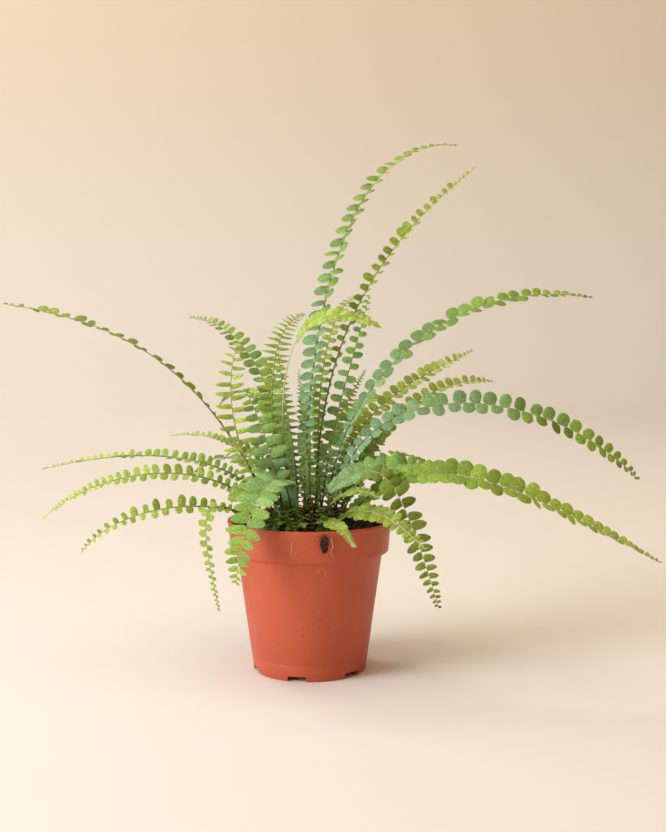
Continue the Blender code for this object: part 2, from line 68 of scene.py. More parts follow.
# Fronds: lengths in millimetres, angles in degrees.
# root, heading, reach, rise, sway, leans and pulls lay the midrib as the frame has it.
# roll: turn of the blade about its midrib at even steps from start to tip; lift: how far both rows are raised
# light: how far leaflets turn flat to the sky; taper: the higher, the later they shrink
# forward: how far leaflets lean to the frond's tip; kind: leaflet shape
# half and broad: leaflet length and breadth; pitch: from leaflet to leaflet; bare: share with no leaflets
# ages: leaf colour at the blade's start and tip, 0 oldest and bluest, 1 youngest; tone: lightness of the leaf
# colour, partly painted shade, lower on fronds deep in shade, and partly painted light, higher on fronds the
# lamps leave dark
# pale: how whitish the midrib is
Frond = namedtuple(
    "Frond",
    "name root heading reach rise sway leans pulls"
    " roll lift light taper forward kind half broad pitch bare ages tone pale",
)
FRONDS = (
    Frond("frond_left_long", (-24, 7), 184, 196, 158, 0, (25, 82), (.47, .38),
          (-2, -12, -22), 16, 0, 6, 4, "round", 9.8, 9.4, 10.4, .16, (.3, .74), .95, .2),
    Frond("frond_left_second", (-23, 14), 172, 183, 34, 0, (30, 104), (.34, .40),
          (-58, -12, -22), 24, 0, 2.2, 8, "round", 9.2, 5.6, 7.2, .12, (.3, .95), 1.08, .1),
    Frond("frond_left_third", (-28, 1), 188, 163, 6, 0, (33, 133), (.37, .37),
          (-58, -50, -30), 22, 0, 1.5, 8, "round", 8.8, 6, 8.6, .12, (.42, .92), 1.12, .2),
    Frond("frond_left_fourth", (-30, -3), 200, 135, -12, 0, (56, 142), (.32, .32),
          (-50, -60, -50), 26, 0, 2.2, 4, "round", 9, 6.2, 9, .14, (.46, .72), 1.12, .3),
    Frond("frond_left_back_short", (-19, 21), 155, 100, 58, 0, (20, 100), (.50, .35),
          (-20, -20), 24, 0, 3, 8, "round", 6, 5, 5.5, .35, (.6, .9), 1, .3),
    Frond("frond_left_drooping", (-31, -15), 205, 36, -55, 0, (52, 192), (1.1, 1.0),
          (-30, -40, -50), 8, 0, 1, 4, "round", 7.6, 6.6, 8.6, .22, (.5, .74), 1.02, .5),
    Frond("frond_front_left_drooping", (-12, -14), 239, 70, -30, 0, (5, 172), (.90, .75),
          (-16, -8, 0), 10, 0, 4, 2, "oblong", 16, 7.8, 8.8, .05, (.1, .6), 1.1, .3),
    Frond("frond_front_left_pale", (-20, -11), 222, 46, 22, 0, (20, 125), (.60, .45),
          (-24, -14), 8, 0, 3, 2, "oblong", 14.5, 8.6, 5, .04, (.34, .42), 1.1, .3),
    Frond("frond_tall_arching", (-4, 5), -3, 109, 269, 0, (0, 97), (.48, .28),
          (44, 40, 36), 20, .62, 4.5, -4, "round", 12, 9.2, 9.2, .06, (0, .66), 1, .3),
    Frond("frond_tall_second", (4, 12), 5, 118, 257, 0, (0, 52), (.44, .35),
          (52, 46, 40), 30, .3, 3.4, 14, "round", 9.6, 8, 8.4, .1, (.12, 1), 1.22, .2),
    Frond("frond_right_upper", (13, 7), 2, 194, 162, 0, (0, 100), (.35, .45),
          (32, 28, 24), 14, 0, 4.2, 2, "round", 10.8, 9.8, 10, .08, (.04, .62), 1, .1),
    Frond("frond_right_back_upper", (14, 24), 27, 127, 125, 0, (8, 68), (.45, .40),
          (34, 30), 18, 0, 6, 8, "round", 8.4, 6.6, 7, .14, (.5, .98), 1.1, .2),
    Frond("frond_right_back_middle", (20, 18), 19, 127, 101, 0, (20, 98), (.42, .35),
          (34, 30), 18, 0, 6, 8, "round", 8.4, 6.6, 7.2, .16, (.5, .9), 1.1, .2),
    Frond("frond_right_big", (19, 1), -3, 218, 32, 0, (0, 138), (.52, .45),
          (44, 46, 48), 15, 0, 6, 2, "round", 11.2, 9.6, 11, .06, (0, .52), 1, .4),
    Frond("frond_right_low", (23, -5), -12, 225, -19, 0, (38, 117), (.40, .50),
          (52, 36, 8), 20, 0, 2.8, 8, "round", 12.4, 11, 10.6, .05, (.36, .9), 1.04, 1),
    Frond("frond_right_pale", (-8, -12), 4, 112, 37, 0, (36, 103), (.50, .35),
          (40, 40), 10, 0, 3, 2, "oblong", 11.5, 8.6, 7.4, .26, (.14, .44), 1.22, .6),
    Frond("frond_right_drooping", (21, -12), -27, 78, -51, 0, (18, 162), (.90, .98),
          (20, 50, 62), 6, 0, 2.4, 2, "oblong", 12, 7.2, 8.8, .18, (.44, .52), .8, .9),
    Frond("frond_right_front_low", (14, -17), -38, 83, -6, 0, (45, 128), (.50, .35),
          (20, 30, 44), 8, 0, 2, 2, "oblong", 10.8, 7.4, 8, .05, (.56, .62), 1, .5),
    Frond("frond_front_short", (3, -20), -61, 59, -4, 0, (50, 125), (.40, .40),
          (6, 16), 6, 0, .8, 8, "round", 9.6, 8, 6.6, .1, (.5, .8), 1, .5),
    Frond("frond_left_back_tall", (-14, 26), 147, 98, 151, 0, (2, 88), (.45, .35),
          (-44, -36, -30), 16, .2, 3.4, 8, "round", 9.8, 7.2, 7.8, .1, (0, .6), 1, .2),
    Frond("frond_left_pointed", (-21, 2), 184, 30, 133, 0, (38, -20), (.40, .30),
          (-90, -84), 4, .2, 4, 6, "oblong", 13, 4.2, 8.4, .1, (.52, .9), 1.15, .4),
    Frond("frond_left_broad", (-17, -6), 210, 33, 98, 0, (14, 30), (.40, .35),
          (-112, -104), 8, 0, 2.6, 8, "oblong", 14, 7.4, 9.4, .08, (.06, .4), 1.2, .3),
    Frond("frond_centre_left", (-13, 11), 40, 12, 150, 0, (-22, 80), (.42, .28),
          (60, 54), 8, .5, 4, 4, "pointed", 12.6, 4.2, 5.4, .06, (.34, .84), 1, .2),
    Frond("frond_centre_straight", (-9, 16), 166, 15, 122, 0, (0, 6), (.40, .35),
          (72, 70), 8, .5, 3, 2, "pointed", 9.4, 4, 5.2, .06, (.34, .66), 1, .2),
    Frond("frond_light_arching", (-12, -4), -2, 63, 140, -35, (-9, 117), (.20, .68),
          (38, 36, 30), 8, 0, 4.5, 10, "oblong", 8.4, 6.2, 4.8, .66, (.6, .96), 1.14, .8),
    Frond("frond_back_yellow_tip", (9, 29), 62, 80, 169, 0, (-12, 96), (.48, .42),
          (20, 20), 14, .3, 4, 4, "round", 6.4, 5, 6.6, .14, (.34, 1), 1, .2),
    Frond("frond_right_upright", (8, 20), 25, 40, 166, 0, (5, 15), (.40, .35),
          (54, 48, 44), 18, .3, 3, 4, "round", 9.4, 7, 10, .1, (0, .34), 1.25, .2),
    Frond("frond_right_shaded", (13, 14), 14, 56, 78, 0, (35, 45), (.35, .35),
          (60, 60), 10, .2, 2.6, 6, "pointed", 9.6, 5, 6.2, .06, (.34, .52), .9, .2),
    Frond("frond_back_left_long", (-9, 30), 118, 150, 78, 0, (12, 118), (.50, .42),
          (-10, -10), 18, 0, 2.6, 6, "round", 9.4, 8.2, 9.4, .1, (.2, .8), 1, .2),
    Frond("frond_back_long", (0, 33), 92, 165, 70, 0, (14, 124), (.50, .42),
          (0, 0), 18, 0, 2.6, 6, "round", 9.8, 8.6, 9.8, .1, (.16, .8), 1, .2),
    Frond("frond_back_right_long", (12, 32), 66, 150, 74, 0, (14, 120), (.50, .42),
          (10, 10), 18, 0, 2.6, 6, "round", 9.8, 8.6, 9.8, .1, (.2, .82), 1, .2),
    Frond("frond_back_left_low", (-16, 30), 134, 118, 22, 0, (34, 136), (.42, .42),
          (-10, -10), 16, 0, 2.4, 6, "round", 9.4, 7.6, 8.8, .09, (.3, .72), 1, .3),
    Frond("frond_back_low", (4, 35), 80, 112, 8, 0, (34, 146), (.42, .42),
          (0, 0), 16, 0, 2.4, 6, "round", 9.4, 7.6, 8.8, .09, (.32, .74), 1, .3),
    Frond("frond_back_right_low", (19, 28), 48, 120, 26, 0, (34, 132), (.42, .42),
          (10, 10), 16, 0, 2.4, 6, "round", 9.4, 7.6, 8.8, .09, (.3, .72), 1, .3),
    Frond("frond_inner_back", (-3, 14), 100, 36, 108, 0, (4, 30), (.40, .35),
          (30, 30), 10, .4, 2.6, 4, "pointed", 6.6, 3.8, 4.8, .06, (.2, .7), 1, .2),
    Frond("frond_inner_right", (4, 3), 32, 44, 108, 0, (2, 36), (.40, .35),
          (56, 50), 8, .4, 2.6, 4, "pointed", 6.6, 4, 5, .06, (.2, .7), 1, .2),
    Frond("frond_inner_low_right", (10, 0), 19, 68, 40, 0, (14, 86), (.45, .40),
          (50, 45), 10, 0, 2.6, 4, "oblong", 7.2, 4.6, 5.8, .05, (.36, .56), .95, .3),
    Frond("frond_inner_low_left", (-11, 0), 192, 62, 62, 0, (6, 78), (.45, .40),
          (-46, -40), 12, 0, 2.6, 4, "oblong", 7.4, 4.8, 6.2, .05, (.34, .56), 1, .3),
    Frond("frond_inner_front", (-1, -5), 262, 26, 62, 0, (-4, 66), (.45, .40),
          (0, 0), 8, .2, 2.6, 4, "oblong", 6.8, 4.4, 5.8, .05, (.34, .56), .95, .4),
    Frond("frond_front_right_small", (8, -13), -40, 54, 24, 0, (24, 112), (.45, .40),
          (24, 24), 8, 0, 2.4, 4, "oblong", 8.2, 5.6, 6, .05, (.38, .6), 1, .4),
    Frond("young_frond_left", (-23, -17), 232, 20, 7, 0, (30, 112), (.45, .40),
          (0, 0), 6, 0, 2, 4, "young", 4.4, 3.6, 3.4, .15, (.56, .8), 1, .6),
    Frond("young_frond_front_left", (-15, -20), 250, 18, 6, 0, (25, 115), (.45, .40),
          (0, 0), 6, 0, 2, 4, "young", 4.4, 3.6, 3.4, .15, (.56, .8), 1, .6),
    Frond("young_frond_front", (-5, -22), 275, 19, 5, 0, (30, 118), (.45, .40),
          (0, 0), 6, 0, 2, 4, "young", 4.4, 3.6, 3.4, .15, (.56, .8), 1, .6),
    Frond("young_frond_right", (11, -21), 300, 20, 6, 0, (30, 112), (.45, .40),
          (0, 0), 6, 0, 2, 4, "young", 4.4, 3.6, 3.4, .15, (.56, .8), 1, .6),
)

# Leaflet outlines: share of the length, then half breadths toward the frond's tip and toward its root
OUTLINES = {
    "round": ((0, .13, .12), (.04, .41, .33), (.17, .50, .45), (.39, .50, .49),
              (.62, .49, .48), (.82, .40, .41), (.94, .25, .26), (1, .08, .08)),
    "oblong": ((0, .13, .12), (.04, .44, .32), (.15, .52, .45), (.37, .50, .48),
               (.60, .45, .44), (.80, .35, .34), (.93, .21, .20), (1, .05, .05)),
    "pointed": ((0, .14, .12), (.04, .52, .34), (.14, .54, .46), (.34, .46, .42),
                (.57, .34, .32), (.78, .22, .21), (.92, .11, .10), (1, .02, .02)),
    "young": ((0, .12, .12), (.06, .38, .32), (.22, .52, .48), (.43, .55, .51),
              (.64, .51, .49), (.83, .39, .38), (.95, .22, .22), (1, .07, .07)),
}
# Leaf colour age of the newest leaflets, past which a leaflet is withered
YOUNGEST = 0.88
# Fronds whose leaflets start smaller or end larger: size at even steps along the blade
SWELL = {
    "frond_tall_second": (0.45, 0.50, 0.85, 1.05, 1.1),
    "frond_left_long": (0.75, 0.75, 0.9, 1.0, 1.1),
    "frond_right_upper": (0.62, 0.88, 1.0, 1.0, 1.0),
}
# Fronds whose leaflets differ much in size, and by how much
UNEVEN = {
    "frond_left_long": 0.50, "frond_tall_second": 0.30, "frond_left_back_short": 0.50,
    "frond_left_fourth": 0.25, "frond_left_drooping": 0.25, "frond_left_second": 0.22,
}
# How far apart leaflets stand along the blade, where they crowd into a sheet near its start
SPREAD = {
    "frond_front_left_drooping": (0.52, 0.58, 0.95, 1.0, 1.0),
    "frond_right_pale": (0.52, 0.72, 1.0, 1.0),
    "frond_right_front_low": (0.50, 0.62, 0.95, 1.0),
    "frond_right_low": (0.80, 0.90, 0.95, 0.85),
    "frond_left_third": (1.0, 1.0, 0.85, 0.7),
    "frond_front_left_pale": (0.8, 0.8),
}
# Fronds with brown leaflets at the very tip
WITHERED = ("frond_left_second", "frond_right_upper", "frond_right_drooping")
# One leaflet: rows of faces across it, thickness in metres, and how far the two sorts droop at the end
LEAFLET_ROWS = 4
LEAFLET_THICKNESS = 0.00024
LEAFLET_DROOPS = (0.03, 0.14)
# Leaflet breadth that the thickness is worked out for, in metres
USUAL_BREADTH = 0.009
CURVE_SAMPLES = 120
STALK_RADIUS = 0.00075
TIP_RADIUS_SHARE = 0.35

# Marks on the pot's front: x and z, turn, half length and half breadth in mm, colour, strength
POT_MARKS = (
    (-4.1, 35.0, 60, 1.7, 0.55, "4A221A", 0.9), (-11.6, 97.0, 86, 7.0, 0.30, "E8B8A0", 0.6),
    (-9.0, 94.0, 66, 5.0, 0.25, "E8B8A0", 0.5), (8.0, 82.0, 34, 4.5, 0.30, "E8B8A0", 0.6),
    (12.0, 79.5, 104, 4.0, 0.28, "E8B8A0", 0.6), (-28.7, 31.5, 0, 0.9, 0.7, "F0C4AC", 0.8),
    (4.7, 41.0, 20, 1.0, 0.4, "E8B8A0", 0.6), (17.0, 39.5, 0, 0.6, 0.6, "E8B8A0", 0.6),
    (-15.0, 103.4, 0, 0.6, 0.6, "4A221A", 0.8), (24.0, 60.0, 75, 9.0, 0.22, "D98A70", 0.5),
)

# The pot in metres, as the frame has it: a taper below a deep collar with a lip, slots at the foot's edge
POT_SIDES = 128
POT_WALL = 0.0013
LIP_HEIGHT = 0.0028
COLLAR_FOOT_Z = 0.0872
BODY_TOP_RADIUS = 0.0530
FOOT_RADIUS = 0.0410
RING_Z = 0.0115
DRAIN_SLOTS = 6
FIRST_SLOT = -102
SLOT_PLACE = (0.0402, 0, 0.0009)
SLOT_SIZE = (0.0074, 0.0136, 0.0058)

# The camera and the lamps: places in metres, sizes in metres, colours as sRGB hex
CAMERA_PLACE = (0.017, -0.880, 0.251)
CAMERA_PITCH = 85.7
CAMERA_LENS = 52.66
LIT_POINT = (0, 0, 0.15)
KEY_PLACE, KEY_SIZE, KEY_COLOUR = (-1.42, -0.80, 0.76), 1.0, "E6F1FF"
CEILING_PLACE, CEILING_SIZE, CEILING_COLOUR = (0.1, -0.2, 2.3), 2.2, "FFEBD3"
WASH_PLACE, WASH_SIZE, WASH_COLOUR = (-1.6, 1.8, 2.8), 1.8, "FFFFFF"
WASHED_POINT = (0.5, 4.0, 0.5)
ROOM_COLOUR = "FFE6C8"

# Round paper sweep in metres, and the height where its floor colour has become its darker, warmer wall
# colour: partly the paper's own tint, partly painted shade for the light falling off up the wall
SWEEP_RADIUS = 4.2
SWEEP_CURVE = 1.6
SWEEP_HEIGHT = 3.6
SWEEP_TINT_AND_FALLOFF_TOP = 1.6
SWEEP_STEPS = 16
SWEEP_SIDES = 96

# The mound that the fronds rise from, as the frame has it
SOIL_TOP = SOIL_HIGH.z
GAP = 0.0003
MAT_MIDDLE = (MAT_LOW + MAT_HIGH) / 2
MAT_HALF = (MAT_HIGH - MAT_LOW) / 2
MAT_EDGE = 0.0010
MAT_HEIGHT = 0.0075
MAT_FALL = 2.5
# Knots and old stalk bases on the mound, and grains in the crumb on the rim
KNOTS = 150
STUBS = 70
RIM_CRUMB_LUMPS = 110


def linear(text):
    """An sRGB hex colour as linear red, green, blue."""
    shares = [int(text[i:i + 2], 16) / 255 for i in (0, 2, 4)]
    return tuple(s / 12.92 if s <= 0.04045 else ((s + 0.055) / 1.055) ** 2.4 for s in shares)


def settings():
    return bpy.context.scene.potted_fern


# ---------------------------------------------------------------- modelling helpers


def clear_selection():
    if bpy.context.mode != "OBJECT":
        bpy.ops.object.mode_set(mode="OBJECT")
    bpy.ops.object.select_all(action="DESELECT")


def make_active(*objs):
    clear_selection()
    for obj in objs:
        obj.select_set(True)
    bpy.context.view_layer.objects.active = objs[0]


def pick(obj, test):
    """Leaves edit mode on with the vertices selected that pass the test."""
    bpy.ops.object.mode_set(mode="EDIT")
    bpy.ops.mesh.select_mode(type="VERT")
    bpy.ops.mesh.select_all(action="DESELECT")
    bpy.ops.object.mode_set(mode="OBJECT")
    for vertex in obj.data.vertices:
        vertex.select = test(vertex.co)
    bpy.ops.object.mode_set(mode="EDIT")


def settle():
    """Puts the active object's place into its mesh."""
    if bpy.context.mode != "OBJECT":
        bpy.ops.object.mode_set(mode="OBJECT")
    bpy.ops.object.transform_apply(location=True, rotation=True, scale=True)


def add_modifier(obj, kind, **values):
    """Adds a modifier to the active object and applies it."""
    modifier = obj.modifiers.new(kind.lower(), kind)
    for name, value in values.items():
        setattr(modifier, name, value)
    bpy.ops.object.modifier_apply(modifier=modifier.name)


def outward(obj):
    """Turns every face of the active object outward."""
    bpy.ops.object.mode_set(mode="EDIT")
    bpy.ops.mesh.select_all(action="SELECT")
    bpy.ops.mesh.remove_doubles(threshold=0.000005)
    bpy.ops.mesh.normals_make_consistent(inside=False)
    bpy.ops.object.mode_set(mode="OBJECT")


def copy_of(source, matrix, **numbers):
    """A copy of the piece with its own mesh, moved by the matrix; the numbers are stored on its vertices."""
    obj = bpy.data.objects.new(source.name, source.data.copy())
    obj.data.transform(matrix)
    bpy.context.scene.collection.objects.link(obj)
    for name, value in numbers.items():
        store(obj, name, [value] * len(obj.data.vertices))
    return obj


def store(obj, name, values):
    """Stores one number for each vertex."""
    found = obj.data.attributes.get(name)
    layer = found or obj.data.attributes.new(name, "FLOAT", "POINT")
    layer.data.foreach_set("value", values)


def join(name, objs):
    """Joins the objects into one piece of that name."""
    make_active(*objs)
    if len(objs) > 1:
        bpy.ops.object.join()
    obj = bpy.context.view_layer.objects.active
    obj.name = name
    obj.data.name = name
    return obj


def discard(*objs):
    for obj in objs:
        bpy.data.objects.remove(obj)


def dress(obj, *materials):
    obj.data.materials.clear()
    for material in materials:
        obj.data.materials.append(material)


def hand_over(obj, slot, *nodes):
    """Seats a finished piece on the frame."""
    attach(obj, "root")
    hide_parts(*nodes)


def turned(name, section, sides):
    """A ring carried along the section by extruding and resizing, as on a lathe.
    The section may start or end on the axis."""
    clear_selection()
    radius, height = section[0]
    at = max(radius, MM / 10)
    bpy.ops.mesh.primitive_circle_add(vertices=sides, radius=at, location=(0, 0, height))
    obj = bpy.context.object
    obj.name = name
    bpy.ops.object.mode_set(mode="EDIT")
    bpy.ops.mesh.select_all(action="SELECT")
    if radius == 0:
        bpy.ops.mesh.edge_face_add()
    for there, level in section[1:]:
        to = max(there, MM / 10)
        bpy.ops.mesh.extrude_edges_move(TRANSFORM_OT_translate={"value": (0, 0, level - height)})
        bpy.ops.transform.resize(value=(to / at, to / at, 1), center_override=(0, 0, level))
        at, height = to, level
    if section[-1][0] == 0:
        bpy.ops.mesh.edge_face_add()
    settle()
    outward(obj)
    return obj


# ---------------------------------------------------------------- materials


# Settings that several nodes share
SMOOTH = {"interpolation_type": "SMOOTHSTEP"}
MIX = {"data_type": "RGBA"}


def node(tree, kind, values=None, links=None):
    """Adds a node, sets its properties, sockets and colour stops, and links what feeds it."""
    made = tree.nodes.new(kind)
    for name, value in (values or {}).items():
        if name == "stops":
            ramp = made.color_ramp
            while len(ramp.elements) < len(value):
                ramp.elements.new(1)
            for element, (place, colour) in zip(ramp.elements, value):
                element.position = place
                element.color = (*colour, 1)
        elif isinstance(name, str) and name in made.bl_rna.properties:
            setattr(made, name, value)
        else:
            made.inputs[name].default_value = value
    for name, source in (links or {}).items():
        tree.links.new(source, made.inputs[name])
    return made


def new_material(name, roughness, ior=1.5):
    material = bpy.data.materials.new(name)
    material.use_nodes = True
    tree = material.node_tree
    shader = tree.nodes["Principled BSDF"]
    shader.inputs["Roughness"].default_value = roughness
    shader.inputs["IOR"].default_value = ior
    return material, tree, shader


def leaf_material(name, colours):
    """A living lamina: waxy upper face with a finely veined, slightly mottled green, paler below,
    and light coming through it, so that a leaflet against the light glows."""
    material, tree, shader = new_material(name, 0.48, 1.42)
    age = node(tree, "ShaderNodeAttribute", {"attribute_name": "age"})
    tone = node(tree, "ShaderNodeAttribute", {"attribute_name": "tone"})
    below = node(tree, "ShaderNodeAttribute", {"attribute_name": "below"})
    place = node(tree, "ShaderNodeUVMap", {"uv_map": "UVMap"})
    split = node(tree, "ShaderNodeSeparateXYZ", links={0: place.outputs[0]})
    where = node(tree, "ShaderNodeTexCoord")
    # blotches about 3 mm across
    blotch = node(tree, "ShaderNodeTexNoise", {"Scale": 330.0, "Detail": 3.0},
                  {"Vector": where.outputs["Object"]})
    shift = node(tree, "ShaderNodeMath", {"operation": "MULTIPLY_ADD", 1: 0.20, 2: -0.10},
                 {0: blotch.outputs[0]})
    spot = node(tree, "ShaderNodeMath", {"operation": "ADD", "use_clamp": True},
                {0: age.outputs["Fac"], 1: shift.outputs[0]})
    green = node(tree, "ShaderNodeValToRGB", {"stops": colours}, {0: spot.outputs[0]})
    # side veins, nine to a leaflet, slanting forward from the middle vein
    off = node(tree, "ShaderNodeMath", {"operation": "SUBTRACT", 1: 0.5}, {0: split.outputs[1]})
    away = node(tree, "ShaderNodeMath", {"operation": "ABSOLUTE"}, {0: off.outputs[0]})
    along = node(tree, "ShaderNodeMath", {"operation": "MULTIPLY", 1: 9.0}, {0: split.outputs[0]})
    slant = node(tree, "ShaderNodeMath", {"operation": "MULTIPLY_ADD", 1: -5.0},
                 {0: away.outputs[0], 2: along.outputs[0]})
    fold = node(tree, "ShaderNodeMath", {"operation": "PINGPONG", 1: 0.5}, {0: slant.outputs[0]})
    side_vein = node(tree, "ShaderNodeMapRange", {**SMOOTH, 1: 0.0, 2: 0.16, 3: 1.0, 4: 0.0},
                     {0: fold.outputs[0]})
    mid_vein = node(tree, "ShaderNodeMapRange", {**SMOOTH, 1: 0.0, 2: 0.05, 3: 1.0, 4: 0.0},
                    {0: away.outputs[0]})
    vein = node(tree, "ShaderNodeMath", {"operation": "MAXIMUM"},
                {0: side_vein.outputs[0], 1: mid_vein.outputs[0]})
    vein_share = node(tree, "ShaderNodeMath", {"operation": "MULTIPLY", 1: 0.34}, {0: vein.outputs[0]})
    veined = node(tree, "ShaderNodeMix", {**MIX, "blend_type": "SCREEN", 7: (*linear("8FA35C"), 1)},
                  {0: vein_share.outputs[0], 6: green.outputs[0]})
    below_share = node(tree, "ShaderNodeMath", {"operation": "MULTIPLY", 1: 0.30}, {0: below.outputs["Fac"]})
    faced = node(tree, "ShaderNodeMix", {**MIX, 7: (*linear("A9BF78"), 1)},
                 {0: below_share.outputs[0], 6: veined.outputs[2]})
    # a paler, thinner margin
    margin = node(tree, "ShaderNodeMapRange", {1: 0.36, 2: 0.50, 3: 0.0, 4: 0.34}, {0: away.outputs[0]})
    edged = node(tree, "ShaderNodeMix", {**MIX, 7: (*linear("C6D88A"), 1)},
                 {0: margin.outputs[0], 6: faced.outputs[2]})
    # lighter and darker specks under a millimetre across, on the same noise that raises the puckers in the
    # bump
    pucker = node(tree, "ShaderNodeTexNoise", {"Scale": 950.0, "Detail": 3.0},
                  {"Vector": where.outputs["Object"]})
    shade = node(tree, "ShaderNodeMapRange", {1: 0.34, 2: 0.66, 3: 0.68, 4: 1.30}, {0: pucker.outputs[0]})
    # the frond's tone multiplies in here: painted light and shade for each frond
    depth = node(tree, "ShaderNodeMath", {"operation": "MULTIPLY"},
                 {0: shade.outputs[0], 1: tone.outputs["Fac"]})
    lit = node(tree, "ShaderNodeMix", {**MIX, "blend_type": "MULTIPLY", "clamp_result": False, 0: 1.0},
               {6: edged.outputs[2], 7: depth.outputs[0]})
    tree.links.new(lit.outputs[2], shader.inputs["Base Color"])
    height = node(tree, "ShaderNodeMath", {"operation": "ADD"}, {0: vein.outputs[0], 1: pucker.outputs[0]})
    relief = node(tree, "ShaderNodeBump", {"Strength": 0.5, "Distance": 0.0003},
                  {"Height": height.outputs[0]})
    tree.links.new(relief.outputs[0], shader.inputs["Normal"])
    through = node(tree, "ShaderNodeBsdfTranslucent", links={0: lit.outputs[2]})
    both = node(tree, "ShaderNodeMixShader", {0: 0.34}, {1: shader.outputs[0], 2: through.outputs[0]})
    tree.links.new(both.outputs[0], tree.nodes["Material Output"].inputs[0])
    return material


def stalk_material():
    """Wiry frond stalk: near-black brown and glossy at its root, olive on the blade, green at the tip,
    with fine lengthwise ribs and a scurf of brown scales."""
    material, tree, shader = new_material("Fern stalk, scurfy and ribbed", 0.42, 1.45)
    age = node(tree, "ShaderNodeAttribute", {"attribute_name": "age"})
    pale = node(tree, "ShaderNodeAttribute", {"attribute_name": "tone"})
    where = node(tree, "ShaderNodeTexCoord")
    colour = node(tree, "ShaderNodeValToRGB", {"stops": (
        (0.0, linear("36261B")), (0.14, linear("5A4A28")),
        (0.34, linear("86803F")), (1.0, linear("B0BA58")))},
        {0: age.outputs["Fac"]})
    rib = node(tree, "ShaderNodeMix", {**MIX, 7: (*linear("DCD8B4"), 1)},
               {0: pale.outputs["Fac"], 6: colour.outputs[0]})
    # scales about half a millimetre long
    scurf = node(tree, "ShaderNodeTexNoise", {"Scale": 1900.0, "Detail": 2.0},
                 {"Vector": where.outputs["Object"]})
    speck = node(tree, "ShaderNodeMapRange", {1: 0.58, 2: 0.72, 3: 0.0, 4: 0.7}, {0: scurf.outputs[0]})
    scaly = node(tree, "ShaderNodeMix", {**MIX, 7: (*linear("5A3A22"), 1)},
                 {0: speck.outputs[0], 6: rib.outputs[2]})
    tree.links.new(scaly.outputs[2], shader.inputs["Base Color"])
    relief = node(tree, "ShaderNodeBump", {"Strength": 0.4, "Distance": 0.0002}, {"Height": scurf.outputs[0]})
    tree.links.new(relief.outputs[0], shader.inputs["Normal"])
    return material


